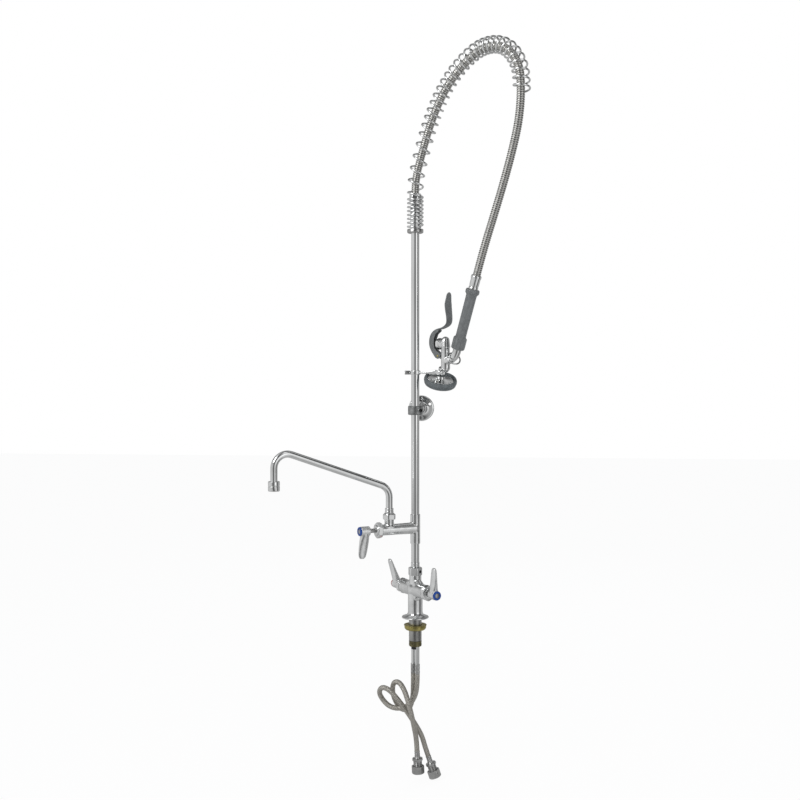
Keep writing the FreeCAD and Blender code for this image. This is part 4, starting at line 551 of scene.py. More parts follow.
def make_ribbed_steel(colour):
    """Steel with painted shade in the grooves between the ribs."""
    hose = Finish("ribbed_steel", colour, 1.0, 0.28)
    hose.rough(hose.spread(hose.cloud(500, 4), 0.2, 0.38))
    hose.bump(hose.cloud(900, 2), 0.00005)
    along = hose.parts(hose.add("UVMap", "UV", uv_map="UVMap"))["Y"]
    # Painted shade: the colour darkens towards the middle of each groove between the ribs, made uneven by a
    # noise
    phase = hose.sum("MULTIPLY", along, 1 / RIB_PITCH)
    depth = hose.sum("PINGPONG", hose.sum("ADD", phase, 0.5), 0.5)
    groove_shade = hose.sum("MULTIPLY_ADD", hose.cloud(220, 4), 0.25, depth)
    hose.tint(groove_shade, shade(colour, 0.95), shade(colour, 0.2), 0.3, 0.62)
    finishes["hose"] = hose.material


def make_braid(colour, pitch):
    """Two sets of wires that wind round the hose in opposite ways, over and under each other."""
    braid = Finish("wire_braid", colour, 1.0, 0.36)
    lay = braid.parts(braid.add("UVMap", "UV", uv_map="UVMap"))
    wires_round = 12.0
    waves = []
    for sign in (1, -1):
        slope = braid.sum("MULTIPLY", lay["Y"], sign * pitch)
        phase = braid.sum("MULTIPLY_ADD", lay["X"], wires_round, slope)
        waves.append(braid.sum("ABSOLUTE", braid.sum("SINE", braid.sum("MULTIPLY", phase, math.pi))))
    # Painted shade: the colour is darkest between the wires and a third darker where the two sets cross
    over = braid.sum("PINGPONG", braid.sum("ADD", *waves), 1.0)
    strands = braid.sum("MAXIMUM", *waves)
    weave = braid.sum("MULTIPLY", strands, braid.sum("MULTIPLY_ADD", over, 0.35, 0.65))
    braid.tint(weave, shade(colour, 0.32), colour, 0.35, 0.95)
    braid.rough(braid.spread(braid.cloud(600, 3), 0.3, 0.5))
    braid.bump(weave, 0.0006)
    finishes["braid"] = braid.material


# Settings that a user may change

def size_setting(name, description, default, low, high):
    """A size in millimetres."""
    return FloatProperty(name=name, description=description + ", in millimetres", default=default, min=low,
        max=high)


def colour_setting(name, description, *default):
    return FloatVectorProperty(name=name, description=description, subtype="COLOR", size=3, default=default,
                               min=0, max=1)


class FaucetSizes(bpy.types.PropertyGroup):
    edge_round: size_setting("Edge round", "Rounding of machined edges", 0.45, 0.05, 1.5)
    hose_radius: size_setting("Hose radius", "Spray hose over its ribs", 8.4, 4, 14)
    hose_groove: size_setting("Hose groove", "Depth between the ribs", 1.1, 0.2, 2)
    supply_radius: size_setting("Supply radius", "Braided hose", 5.3, 3, 9)
    spring_wire: size_setting("Spring wire", "Radius of the spring's wire", 1.95, 0.8, 3)
    spring_radius: size_setting("Spring radius", "Middle of the wire", 16.05, 12, 24)
    spray_holes: IntProperty(name="Spray holes", description="Holes in the spray face's outer ring",
        default=18, min=6, max=36)


class FaucetColours(bpy.types.PropertyGroup):
    chrome: colour_setting("Chrome", "Plated parts", 0.84, 0.85, 0.85)
    spring: colour_setting("Spring", "Overhead spring", 0.95, 0.96, 0.96)
    hose: colour_setting("Spray hose", "Ribbed steel hose", 0.79, 0.785, 0.755)
    braid: colour_setting("Braid", "Supply hoses", 0.8, 0.77, 0.705)
    braid_pitch: FloatProperty(name="Braid pitch", description="Crossings along a metre of braid",
        default=420, min=100, max=1200)
    brass: colour_setting("Brass", "Lock nut and couplings", 0.62, 0.54, 0.2)
    cold: colour_setting("Cold", "Cold index ring", 0.012, 0.07, 0.33)
    hot: colour_setting("Hot", "Hot index ring", 0.42, 0.02, 0.02)
    grip: colour_setting("Grip", "Grip and squeeze lever", 0.175, 0.182, 0.182)
    bumper: colour_setting("Bumper", "Rubber bumper", 0.135, 0.15, 0.155)


# Stage

# Light that the metal mirrors, as position and level: all round by bearing, and from below to above
BEARING_LIGHT = [(0.0, 0.12), (0.028, 0.16), (0.065, 0.66), (0.12, 0.84), (0.2, 0.92), (0.29, 0.84),
    (0.37, 0.7), (0.44, 0.5), (0.5, 0.42), (0.58, 0.55), (0.68, 0.62), (0.72, 0.4), (0.755, 0.13),
    (0.785, 0.16), (0.825, 0.7), (0.86, 1.85), (0.885, 1.6), (0.92, 0.64), (0.955, 0.5), (0.978, 0.2),
    (1.0, 0.12)]
RISE_LIGHT = [(0.0, 0.66), (0.4, 0.72), (0.5, 0.76), (0.6, 0.76), (0.7, 0.56), (0.76, 0.24), (0.82, 0.24),
              (0.88, 0.7), (0.93, 0.85), (0.97, 0.45), (1.0, 0.4)]


def grey(level):
    return (level, level, level, 1)


def grey_ramp(tree, source, stops):
    return tree.ramp(source, [(position, grey(level)) for position, level in stops])


def bars(tree, direction):
    """Upright bars of light and shade all round, from a direction's bearing."""
    parts = tree.parts(direction)
    bearing = tree.sum("ARCTAN2", parts["X"], parts["Y"])
    return grey_ramp(tree, tree.spread(bearing, 0, 1, -math.pi, math.pi), BEARING_LIGHT)


class FAUCET_OT_stage(bpy.types.Operator):
    """Floor, studio light and camera"""
    bl_idname = "faucet.stage"
    bl_label = "Stage"

    def execute(self, context):
        scene = context.scene
        scene.view_settings.view_transform = "Standard"
        camera = bpy.data.objects.new("camera", bpy.data.cameras.new("camera"))
        scene.collection.objects.link(camera)
        scene.camera = camera
        camera.data.sensor_width = 36
        camera.data.lens = 48.825
        camera.data.shift_y = -0.03125
        camera.data.clip_start = 0.1
        camera.data.clip_end = 60
        camera.location = (0.2082, -2.2908, 0.514)
        camera.rotation_euler = (math.radians(90), 0, math.radians(6))
        self.floor(scene)
        self.world(scene)
        self.lamps(scene)
        return {"FINISHED"}

    def floor(self, scene):
        """White to the camera, calmer bars in the metal that fade to grey below it, matte elsewhere."""
        bm = bmesh.new()
        bmesh.ops.create_grid(bm, x_segments=1, y_segments=1, size=9)
        mesh = bpy.data.meshes.new("floor")
        bm.to_mesh(mesh)
        bm.free()
        item = bpy.data.objects.new("floor", mesh)
        scene.collection.objects.link(item)
        item.location = (0, 0, cad_bounds[0].z - 0.001)
        material = bpy.data.materials.new("pale_floor")
        tree = Tree(material)
        matte = tree.nodes["Principled BSDF"]
        tree.feed(matte, {"Base Color": grey(0.9), "Roughness": 0.9})
        spot = tree.add("TexCoord", "Object")
        distance = tree.add("VectorMath", "Value", {0: spot}, operation="LENGTH")
        far = tree.spread(distance, 0, 1, 0.25, 1.1, interpolation_type="SMOOTHSTEP")
        calm = tree.mixed_colour(1.0, bars(tree, spot), grey(0.95), "DARKEN")
        mirrored = tree.add("Emission", "Emission", {"Color": tree.mixed_colour(far, grey(0.62), calm),
                                                     "Strength": 0.76})
        white = tree.add("Emission", "Emission", {"Color": grey(1)})
        white_share = tree.sum("MULTIPLY", tree.add("LightPath", "Is Camera Ray"), 0.94)
        seen = tree.mixed_shader(white_share, matte.outputs[0], white)
        surface = tree.mixed_shader(tree.add("LightPath", "Is Glossy Ray"), seen, mirrored)
        tree.feed(tree.nodes["Material Output"], {"Surface": surface})
        mesh.materials.append(material)

    def world(self, scene):
        """White to the camera, bars of light and shade in the metal, plain light elsewhere."""
        world = bpy.data.worlds.new("studio")
        scene.world = world
        tree = Tree(world)
        plain = tree.nodes["Background"]
        tree.feed(plain, {"Color": (0.93, 0.96, 1.0, 1), "Strength": 0.62})
        direction = tree.add("TexCoord", "Generated")
        rise = tree.spread(tree.parts(direction)["Z"], 0, 1, -1, 1)
        light = tree.mixed_colour(1.0, bars(tree, direction), grey_ramp(tree, rise, RISE_LIGHT), "MULTIPLY")
        mirrored = tree.add("Background", "Background", {"Color": light})
        white = tree.add("Background", "Background", {"Color": grey(1)})
        unseen = tree.mixed_shader(tree.add("LightPath", "Is Glossy Ray"), plain.outputs[0], mirrored)
        surface = tree.mixed_shader(tree.add("LightPath", "Is Camera Ray"), unseen, white)
        tree.feed(tree.nodes["World Output"], {"Surface": surface})

    def lamps(self, scene):
        """Soft lamps, of which the metal mirrors only the key."""
        for name, spot, aim, size, power in (
                ("key_lamp", (-1.6, -1.8, 2.0), (0, 0, 0.5), 1.4, 24),
                ("fill_lamp", (2.2, -1.2, 1.2), (0, 0, 0.5), 1.6, 12),
                ("back_lamp", (0.6, 2.0, 1.8), (0, 0, 0.6), 1.4, 10)):
            lamp = bpy.data.lights.new(name, "AREA")
            lamp.size = size
            lamp.energy = power
            item = bpy.data.objects.new(name, lamp)
            scene.collection.objects.link(item)
            item.location = spot
            item.rotation_euler = (Vector(aim) - Vector(spot)).to_track_quat("-Z", "Y").to_euler()
            item.visible_glossy = name == "key_lamp"


# Supply hoses

COLD_SUPPLY = [(0.5, -5.1, -165), (-12, -7, -184.5), (-32.5, -6.5, -192.5), (-54, -1, -191),
               (-70.5, 5, -178), (-78, -1, -160), (-70, -11.5, -145.5), (-53, -20.5, -148.5),
               (-37, -22.5, -165.5), (-22.5, -20.5, -184.5), (-8, -17, -206), (6, -13, -229.5),
               (15.5, -9, -249), (21.5, -7.8, -270.8), (28, -7.1, -289.8)]
HOT_SUPPLY = [(-5.5, 6.5, -172), (-13, 10.5, -198), (-31, 11.5, -200.5), (-44, 9.5, -181),
              (-50, 6.5, -159), (-46.5, 0.5, -138), (-32.5, -10.5, -134.5), (-20, -23, -149.5),
              (-11.5, -32, -171), (-5, -34.5, -195), (-0.5, -30.5, -218.5), (2.5, -22.5, -239),
              (4.3, -17.4, -258), (5.3, -17.4, -276.3)]
FERRULE_END = -118.5


def tube_spot(side):
    """Where the cold or hot supply tube stands, in millimetres from the shank's axis."""
    turn = math.radians(TUBE_TURN)
    return side * TUBE_ASIDE * math.cos(turn), side * TUBE_ASIDE * math.sin(turn)


def supply_points(side, chosen):
    """The control points of a supply hose, in metres."""
    x, y = tube_spot(side)
    route = [(x, y, FERRULE_END), (x, y, FERRULE_END - 24)] + chosen
    return [Vector(point) * MM for point in route]


def supply_end(points):
    """A frame at the hose's lower end whose Z runs on out of it."""
    ahead = (points[-1] - points[-2]).normalized()
    return Matrix.Translation(points[-1]) @ ahead.to_track_quat("Z", "X").to_matrix().to_4x4()


class FAUCET_OT_supply(bpy.types.Operator):
    """Braided supply hoses with their ferrules, end fittings and coupling nuts"""
    bl_idname = "faucet.supply"
    bl_label = "Supply hoses"

    def execute(self, context):
        sizes = context.scene.faucet_sizes
        radius = sizes.supply_radius * MM
        for side, name, chosen in ((1, "cold", COLD_SUPPLY), (-1, "hot", HOT_SUPPLY)):
            points = supply_points(side, chosen)
            line = Line(smooth_line(points))
            count = int(line.length / (1.5 * MM))
            stations = [(line.length * step / count, radius) for step in range(count + 1)]
            hose = piece("supply_hose_braid_" + name, tube(line, stations, 32, Vector((0.3, 1, 0.1))),
                         "braid", "supply_hose_" + name)
            end = supply_end(points)
            fitting = piece("hose_end_" + name, turned([(0, 0), (5.6, 0), (5.75, 0.6), (5.75, 2.2),
                (5.35, 2.6), (5.35, 4.4), (5.75, 4.8), (5.75, 6.4), (5.35, 6.8), (5.35, 8.6), (5.75, 9),
                (5.75, 12.6), (6.4, 13.6), (7.4, 14.6), (10.2, 15), (11, 15.8), (11, 19.2), (10.2, 20),
                (9.0, 20), (9.0, 21.4)] + [(9.2 - 0.45 * (step % 2), 21.6 + 0.85 * step)
                for step in range(12)] + [(9.1, 31.2), (9.1, 37), (3, 37), (3, 30), (0, 30)], end, 64),
                "satin", "hose_end_fittings", edge=0.15)
            coupling = piece("coupling_" + name, nut(end, 31, 15.6, 24, 13.2, 10.4, 1.2),
                             "satin", "coupling_nuts", edge=0.3, slot="brass")
            piece("top_ferrule_" + name, turned([(4.85, -97.6), (5.3, -97.6), (5.5, -98), (5.5, -101),
                (5.25, -101.6), (5.25, -103), (5.5, -103.6), (5.5, -110), (5.25, -110.6), (5.25, -112),
                (5.5, -112.6), (5.5, -118), (5.3, FERRULE_END), (4.85, FERRULE_END)],
                place(*tube_spot(side)), 48, closed=True), "satin", "hose_top_ferrules", edge=0.15)
        return {"FINISHED"}


# Overhead spring and spray hose

SPRING_ROUTE = [(0, -75), (0, 0), (1.3, 30), (15.2, 75), (45.5, 149), (87.8, 214.3), (145.3, 258.4),
                (197, 275.1), (250.2, 262.5), (283.3, 218.8), (288, 170.7), (286.8, 146)]
SPRING_PITCHES = [(7, 8.3), (1, 8), (5, 25), (2, 17.8), (10, 15.6), (2, 14.2), (3, 11.2), (2, 13), (8, 15.2)]
HOSE_ROUTE = [(0, 0, 0.3), (0, 0, 27), (15.2, 0, 72), (46.7, 0, 148), (89, 0, 211), (146.5, 0, 254.5),
    (197, 0, 272), (248.8, 0, 260), (281.5, 0, 219), (285.6, 0.6, 166.8), (270.8, 12, 112.6),
    (244.4, 22.4, 55.7), (216.9, 28.8, -3.3), (191, 31.2, -61.9)]
ARCH_ASIDE = Vector((-math.sin(math.radians(ARCH_TURN)), math.cos(math.radians(ARCH_TURN)), 0))


def arch_point(reach, aside, height):
    """A point of the arch: reach in its plane, distance behind it, height above the hose's foot."""
    turn = math.radians(ARCH_TURN)
    return Vector((reach * math.cos(turn) - aside * math.sin(turn),
                   reach * math.sin(turn) + aside * math.cos(turn), HOSE_FOOT + height)) * MM


class FAUCET_OT_spring(bpy.types.Operator):
    """Overhead spring wound round the arch, with its collar and the hose adapter"""
    bl_idname = "faucet.spring"
    bl_label = "Overhead spring"

    def execute(self, context):
        sizes = context.scene.faucet_sizes
        line = Line(smooth_line([arch_point(reach, 0, height) for reach, height in SPRING_ROUTE]))
        wire = sizes.spring_wire * MM
        points = []
        distance = wire + 0.3 * MM
        count = 0
        steps = 20
        for turns, pitch in SPRING_PITCHES:
            for _ in range(turns * steps):
                ahead = line.way(distance)
                across = ARCH_ASIDE.cross(ahead)
                angle = -TURN * count / steps
                points.append(line.at(distance) + (across * math.cos(angle) + ARCH_ASIDE * math.sin(angle))
                              * sizes.spring_radius * MM)
                distance += pitch * MM / steps
                count += 1
        curve = bpy.data.curves.new("overhead_spring_wire", "CURVE")
        curve.dimensions = "3D"
        curve.resolution_u = 2
        curve.bevel_depth = wire
        curve.bevel_resolution = 4
        curve.use_fill_caps = True
        spline = curve.splines.new("NURBS")
        spline.points.add(len(points) - 1)
        for point, spot in zip(spline.points, points):
            point.co = (*spot, 1)
        spline.order_u = 3
        spline.use_endpoint_u = True
        curve.materials.append(finishes["spring"])
        spring = bpy.data.objects.new("overhead_spring_wire", curve)
        context.scene.collection.objects.link(spring)
        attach(spring, "fixed_body")
        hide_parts("overhead_spring")
        edge = sizes.edge_round
        foot = SPRING_FOOT - 8.5
        # The collar is chrome, but takes the darker satin steel as painted shade of the spring's coils round
        # it
        piece("spring_seat", turned([(8.68, foot), (15.4, foot), (17.2, foot + 1.6),
            (17.2, SPRING_FOOT - 1.2), (16.6, SPRING_FOOT - 0.2), (15.8, SPRING_FOOT), (10.65, SPRING_FOOT),
            (10.65, RISER_TOP), (8.68, RISER_TOP)], closed=True), "satin", "spring_collar", edge=edge * 0.6,
            slot="chrome")
        barrel = turned([(4, RISER_TOP), (10.2, RISER_TOP), (10.5, RISER_TOP + 0.5), (10.5, HEX_FOOT - 9),
            (9.6, HEX_FOOT - 7.4), (9.6, HEX_FOOT - 3), (10.5, HEX_FOOT - 1.4), (10.5, HEX_FOOT),
            (4, HEX_FOOT)], closed=True)
        hexagon = nut(UPRIGHT, HEX_FOOT, HOSE_FOOT - HEX_FOOT, 23, 12.5, 4, 1.4)
        piece("hose_adapter_turned", merged(barrel, hexagon), "chrome", "hose_adapter", edge=edge * 0.6)
        return {"FINISHED"}


RIB_PITCH = 4.3 * MM
SLEEVE_TOP = 158.7


class FAUCET_OT_spray_hose(bpy.types.Operator):
    """Ribbed spray hose and the sleeve that holds it to the grip"""
    bl_idname = "faucet.spray_hose"
    bl_label = "Spray hose"

    def execute(self, context):
        sizes = context.scene.faucet_sizes
        points = [arch_point(*entry) for entry in HOSE_ROUTE]
        points += [GRIP @ Vector((0, 0, height * MM)) for height in (SLEEVE_TOP + 52, SLEEVE_TOP - 8)]
        line = Line(smooth_line(points, 24))
        crest = sizes.hose_radius * MM
        valley = crest - sizes.hose_groove * MM
        ribs = round(line.length / RIB_PITCH)
        pitch = line.length / ribs
        middle = (crest + valley) / 2
        shoulder = crest - 0.05 * (crest - valley)
        stations = []
        for rib in range(ribs):
            foot = rib * pitch
            stations += [(foot, valley), (foot + 0.16 * pitch, middle), (foot + 0.32 * pitch, shoulder),
                         (foot + 0.5 * pitch, crest), (foot + 0.68 * pitch, shoulder),
                         (foot + 0.84 * pitch, middle)]
        stations.append((line.length, valley))
        hose = piece("spray_hose_ribs", tube(line, stations, 36, ARCH_ASIDE), "hose", "spray_hose", sharp=0)
        piece("hose_sleeve_crimped", turned([(7.4, 128.9), (9.4, 128.9), (10, 129.6), (10, 133),
            (9.5, 133.8), (9.5, 137), (10, 137.8), (10, 150), (10.3, 151.4), (10.9, 152.6), (10.9, 156.2),
            (10.4, 157.8), (9.6, 158.6), (8.6, 158.6), (8.5, 157.8), (8.5, 150.2), (7.4, 149.8)], GRIP,
            closed=True), "chrome", "hose_sleeve", edge=0.3)
        return {"FINISHED"}


# Deck base

class FAUCET_OT_base(bpy.types.Operator):
    """Cast base with its flange, side plug and riser nut"""
    bl_idname = "faucet.base"
    bl_label = "Base"

    def execute(self, context):
        seam = 24 * MM
        column = 15.5
        sweep_radius = 11
        along_barrel = place(z=BARREL_HEIGHT, angle=COLD_TURN)
        slope = [(0, 89, 12.6), (8, 88.5, 12.6), (17, 81, 12.2), (28, 72.5, 11.4), (37, 66, 10)]
        web = []
        for side in (1, -1):
            rings = []
            for reach, rise, half in slope:
                rings.append([along_barrel @ Vector(
                    (side * reach * MM, math.cos(t) * half * MM,
                     (max(math.sin(t), -0.2) * (rise - BARREL_HEIGHT - 4) + 3) * MM)) for t in angles(40)])
            web.append(lofted(rings))
        body = cast([
            drum(UPRIGHT, 14, 46, 15.6), drum(COLD, -43, 86, 15.15), ball(place(z=BARREL_HEIGHT), 17.6),
            drum(UPRIGHT, 60, 30.1, 12.9), *web, drum(SIDE_PLUG, 0, 17.6, 6)], 0.75, 14,
            lambda co: 20 * MM < co.z < 88.6 * MM)
        blend = 6 * MM
        for vert in body.verts:
            flat = math.hypot(vert.co.x, vert.co.y)
            if vert.co.z < seam + blend and flat > 14 * MM:
                share = min(max((seam + blend - vert.co.z) / blend, 0), 1)
                reach = flat + (column * MM - flat) * share
                vert.co.x *= reach / flat
                vert.co.y *= reach / flat
        bmesh.ops.bisect_plane(body, geom=body.verts[:] + body.edges[:] + body.faces[:],
                               plane_co=(0, 0, seam), plane_no=(0, 0, 1), clear_inner=True)
        steps = 14
        sweep = [(column + sweep_radius - sweep_radius * math.sin(step / steps * TURN / 4),
                  3 + sweep_radius - sweep_radius * math.cos(step / steps * TURN / 4))
                 for step in range(steps + 1)]
        flange = turned([(13.6, 10), (13.6, 0), (27.6, 0), (28.3, 0.4), (28.6, 1.1), (28.4, 2.2), (27.7, 2.9)]
                        + sweep + [(column, 19), (column, 24)], UPRIGHT, 96)
        piece("base_casting", merged(body, flange), "casting", "base_body", sharp=50)
        plug = turned([(0, 11.6), (3.8, 11.6), (3.8, 17.2), (4, 17.5), (3.9, 18.3), (3, 18.9), (0, 19.1)],
                      SIDE_PLUG, 48)
        slit = block(SIDE_PLUG @ place(z=18.9, angle=35), (-6, -0.5, -0.9), (6, 0.5, 0.9))
        piece("side_plug_screw", carved(plug, slit), "chrome", "base_side_plug")
        blank = nut(place(angle=-7), NECK_TOP, 16.5, 26.6, 14.8, 8.68, 2.4)
        piece("riser_nut_chrome", carved(blank, drum(NUT_SCREW, 9.5, 8, 3.3)), "casting", "riser_nut",
              sharp=35)
        piece("nipple_chrome", turned([(WATER_RADIUS, 75), (8.57, 75), (8.57, 106.6), (9.0, 106.7),
            (9.25, 107.1), (9.25, 110.2), (8.95, 110.6), (8.95, 113.2), (9.25, 113.6), (9.25, 116.6),
            (9.0, 117), (8.57, 117.1), (8.57, 172), (WATER_RADIUS, 172)], closed=True), "tube",
            "lower_nipple", edge=0.15)
        return {"FINISHED"}


class FAUCET_OT_shank(bpy.types.Operator):
    """Threaded shank, washer, lock nut, end ring and supply tubes under the deck"""
    bl_idname = "faucet.shank"
    bl_label = "Shank"

    def execute(self, context):
        edge = context.scene.faucet_sizes.edge_round
        threads = [(13.5 - 0.35 * (step % 2), -14.2 - 0.75 * step) for step in range(45)]
        piece("shank_threaded", turned(
            [(10.6, 10), (13.5, 10), (13.5, -13.6)] + threads + [(13.1, -48), (12.8, -48.5), (10.6, -48.5)],
            UPRIGHT, 96, closed=True), "shank", "mounting_shank", sharp=60)
        piece("washer_flat", turned([(13.8, -14.5), (24, -14.5), (24, -16), (13.8, -16)], UPRIGHT, 96,
            closed=True), "brass", "shank_washer", edge=0.3, slot="shank_steel")
        piece("lock_nut_cast", turned([(13.6, -16.05), (22, -16.05), (23, -16.7), (23, -20.2),
            (22.4, -22.4), (20.6, -24.4), (19.6, -25), (16.5, -25), (16.2, -24.2), (13.6, -24.2)], UPRIGHT,
            96, closed=True), "brass", "shank_lock_nut", edge=edge)
        piece("end_ring_turned", turned([(10.6, -42.5), (12, -42.5), (12, -48.5), (13.5, -48.55),
            (13.5, -51), (13.15, -51.5), (13.15, -53), (13.5, -53.5), (13.5, -58.6), (12.4, -60),
            (10.6, -60)], UPRIGHT, 96, closed=True), "tarnished", "shank_end_ring", edge=0.2)
        for side, name in ((1, "cold"), (-1, "hot")):
            piece("supply_tube_" + name, turned([(3.4, 48), (4.75, 48), (4.75, -108.25), (3.4, -108.25)],
                place(*tube_spot(side)), 48, closed=True), "tube", "supply_tubes", edge=0.2,
                slot="chrome_satin")
        return {"FINISHED"}


# Valve sets

class FAUCET_OT_valves(bpy.types.Operator):
    """Bonnets, stems, lever handles and index buttons of the three valves"""
    bl_idname = "faucet.valves"
    bl_label = "Valve sets"

    def execute(self, context):
        edge = context.scene.faucet_sizes.edge_round
        for name, stand, face, show, turn, body, colour in (
                ("cold", COLD, 43, 6, 4, "cold_lever", "blue"),
                ("hot", HOT, 43, 6, -17, "hot_lever", "red"),
                ("add_on", ADD_ON, 80, 14, 180, "add_on_lever", "blue")):
            self.bonnet(name, stand, face, edge)
            hub = stand @ place(z=face + 13 + show)
            self.handle(name, hub, turn, body)
            self.stem(name, stand, face, show, body)
            self.button(name, hub, body, colour)
        return {"FINISHED"}

    def bonnet(self, name, stand, face, edge):
        plug = 10.1 if name != "add_on" else 8.1
        thread = turned([(STEM_BORE, face - 8), (plug, face - 8), (plug, face + 0.05),
            (STEM_BORE, face + 0.05)], stand, 48, closed=True)
        collar = turned([(STEM_BORE, face), (14.6, face), (15.4, face + 0.5), (15.4, face + 1.6),
            (STEM_BORE, face + 1.6)], stand, closed=True)
        hexagon = nut(stand, face + 1.6, 8.6, 29.6, 16.6, STEM_BORE, 2.2)
        nose = turned([(STEM_BORE, face + 10), (11.6, face + 10), (11.4, face + 11.6), (10.4, face + 12.7),
            (9.6, face + 13), (6.2, face + 13), (5.6, face + 12.4), (STEM_BORE, face + 12.4)], stand, 72,
            closed=True)
        piece(name + "_bonnet_nut", merged(thread, collar, hexagon, nose),
              "chrome", name + "_bonnet", edge=edge * 0.8)

    def handle(self, name, hub, turn, body):
        stand = hub @ place(z=10, angle=turn) @ place(about="Y", angle=-90)
        stations = [(-6, 17, 17, 0), (3, 18, 18.8, 0), (8.5, 17, 19.4, 0), (12, 15.4, 19.8, 0.3),
                    (16, 13.8, 20.6, 0.8), (21, 12.4, 21, 1.5), (28, 10.2, 20.8, 2.5), (35, 8.8, 20.4, 3.5),
                    (42, 7.6, 19.4, 4.5), (48, 6.8, 18, 5.3), (52.4, 6.3, 15.8, 5.7), (55, 5.6, 12.8, 5.9),
                    (56.8, 4, 7.8, 6)]
        rings = []
        for height, thick, broad, lean in stations:
            rings.append([stand @ (Vector((lean + math.cos(angle) * broad / 2,
                                           math.sin(angle) * thick / 2, height)) * MM)
                          for angle in angles(40)])
        grown = cast([drum(hub, 0, 20, 9.9), lofted(rings)], 0.5, 5)
        piece(name + "_lever_handle", grown, "handle", name + "_handle", body=body, sharp=0)

    def stem(self, name, stand, face, show, body):
        top = face + 13 + show
        piece(name + "_valve_stem", turned([(0, face - 14), (4.4, face - 14), (4.4, face + 12.6),
            (4.5, face + 13), (4.5, top + 10), (0, top + 10)], stand, 48), "satin", name + "_stem",
            body=body)

    def button(self, name, hub, body, colour):
        piece(name + "_index_ring", turned(
            [(5.2, 19.95), (9.3, 19.95), (9.5, 20.3), (9.5, 21.6), (9.1, 22.8), (8.2, 23.6), (7.2, 23.9),
             (6.2, 23.7), (5.6, 23.2), (5.2, 22.6)], hub, closed=True),
            colour, name + "_button", body=body, edge=0.15)
        piece(name + "_index_centre", turned(
            [(0, 19.95), (5.15, 19.95), (5.15, 22.3), (4.7, 22.75), (3.6, 22.95), (0, 23.05)], hub, 48),
            "satin", body=body)


# Riser, add-on faucet and spout

class FAUCET_OT_add_on(bpy.types.Operator):
    """Add-on faucet body, spout nut, swing spout and outlet"""
    bl_idname = "faucet.add_on"
    bl_label = "Add-on faucet"

    def execute(self, context):
        edge = context.scene.faucet_sizes.edge_round
        low = 157
        top = 219
        casting = cast(
            [drum(UPRIGHT, low, top - low, 10.45), drum(ADD_ON, 0, 40, 12.2, 11.4),
             drum(ADD_ON, 38, 42, 11.4), drum(SPOUT, ADD_ON_HEIGHT, 26.2, 9.9),
             drum(SPOUT, ADD_ON_HEIGHT + 7, 4.4, 12.4, 9.9), drum(ADD_ON, 72, 8, 11.4)], 0.7, 13,
            lambda co: low + 1.6 < co.z / MM < top - 1.6 and not (
                (SPOUT.inverted() @ co).z / MM > ADD_ON_HEIGHT + 24.6
                and (SPOUT.inverted() @ co).xy.length < 0.02))
        piece("add_on_casting", casting, "casting", "add_on_body", sharp=50)
        foot = ADD_ON_HEIGHT + 22
        shape = nut(SPOUT, foot, 10.4, 25.6, 14, 7.5, 2.2)
        collar = turned([(7.5, foot + 10.2), (11.8, foot + 10.2), (11.2, foot + 11.8), (9.6, foot + 13),
                         (7.5, foot + 13)], SPOUT, closed=True)
        piece("spout_union_nut", merged(shape, collar), "chrome", "spout_nut", edge=edge * 0.8)
        self.spout(edge)
        return {"FINISHED"}

    def spout(self, edge):
        bend = 28.0
        corners = [Vector((0, 0, 202.3)), Vector((0, 0, 277.8)), Vector((SPOUT_REACH, 0, 367)),
                   Vector((SPOUT_REACH, 0, 288))]
        line = []
        for before, corner, after in zip(corners, corners[1:], corners[2:]):
            back = (before - corner).normalized()
            ahead = (after - corner).normalized()
            half = (math.pi - back.angle(ahead)) / 2
            reach = bend * math.tan(half)
            centre = corner + (back + ahead).normalized() * (bend / math.cos(half))
            start = corner + back * reach
            axis = back.cross(ahead).normalized()
            if not line:
                line += [before, before.lerp(start, 0.5)]
            steps = 20
            for step in range(steps + 1):
                turn = Matrix.Rotation(-2 * half * step / steps, 3, axis)
                line.append(centre + turn @ (start - centre))
        line.append(line[-1].lerp(corners[-1], 0.5))
        line.append(corners[-1])
        route = Line([SPOUT @ (point * MM) for point in line])
        count = 150
        stations = [(route.length * step / count, 7.15 * MM) for step in range(count + 1)]
        aside = (SPOUT.to_3x3() @ Vector((0, 1, 0))).normalized()
        pipe = tube(route, stations, 48, aside)
        ring = turned([(7.1, 225.3), (8.7, 225.3), (9.1, 225.8), (9.1, 229.4), (8.6, 230), (8.6, 231.4),
            (9.1, 232), (9.1, 234.2), (8.7, 234.9), (7.1, 234.9)], SPOUT, closed=True)
        piece("spout_pipe", merged(pipe, ring), "chrome", "spout", body="swing_spout")
        outlet = SPOUT @ place(x=SPOUT_REACH)
        shell = turned([(6.2, 288), (7.2, 288), (7.2, 301.6), (7.6, 302), (10.6, 302), (11.6, 301.2),
            (11.8, 300.2), (11.8, 293.6), (11.3, 293), (11.3, 291.8), (11.8, 291.2), (11.8, 283.4),
            (11.2, 282.4), (10.6, 282), (9.2, 282), (8.6, 282.6), (8.6, 286.6), (6.2, 287)], outlet,
            closed=True)
        piece("spout_outlet_shell", shell, "chrome", "spout_outlet", body="swing_spout", edge=edge * 0.5)


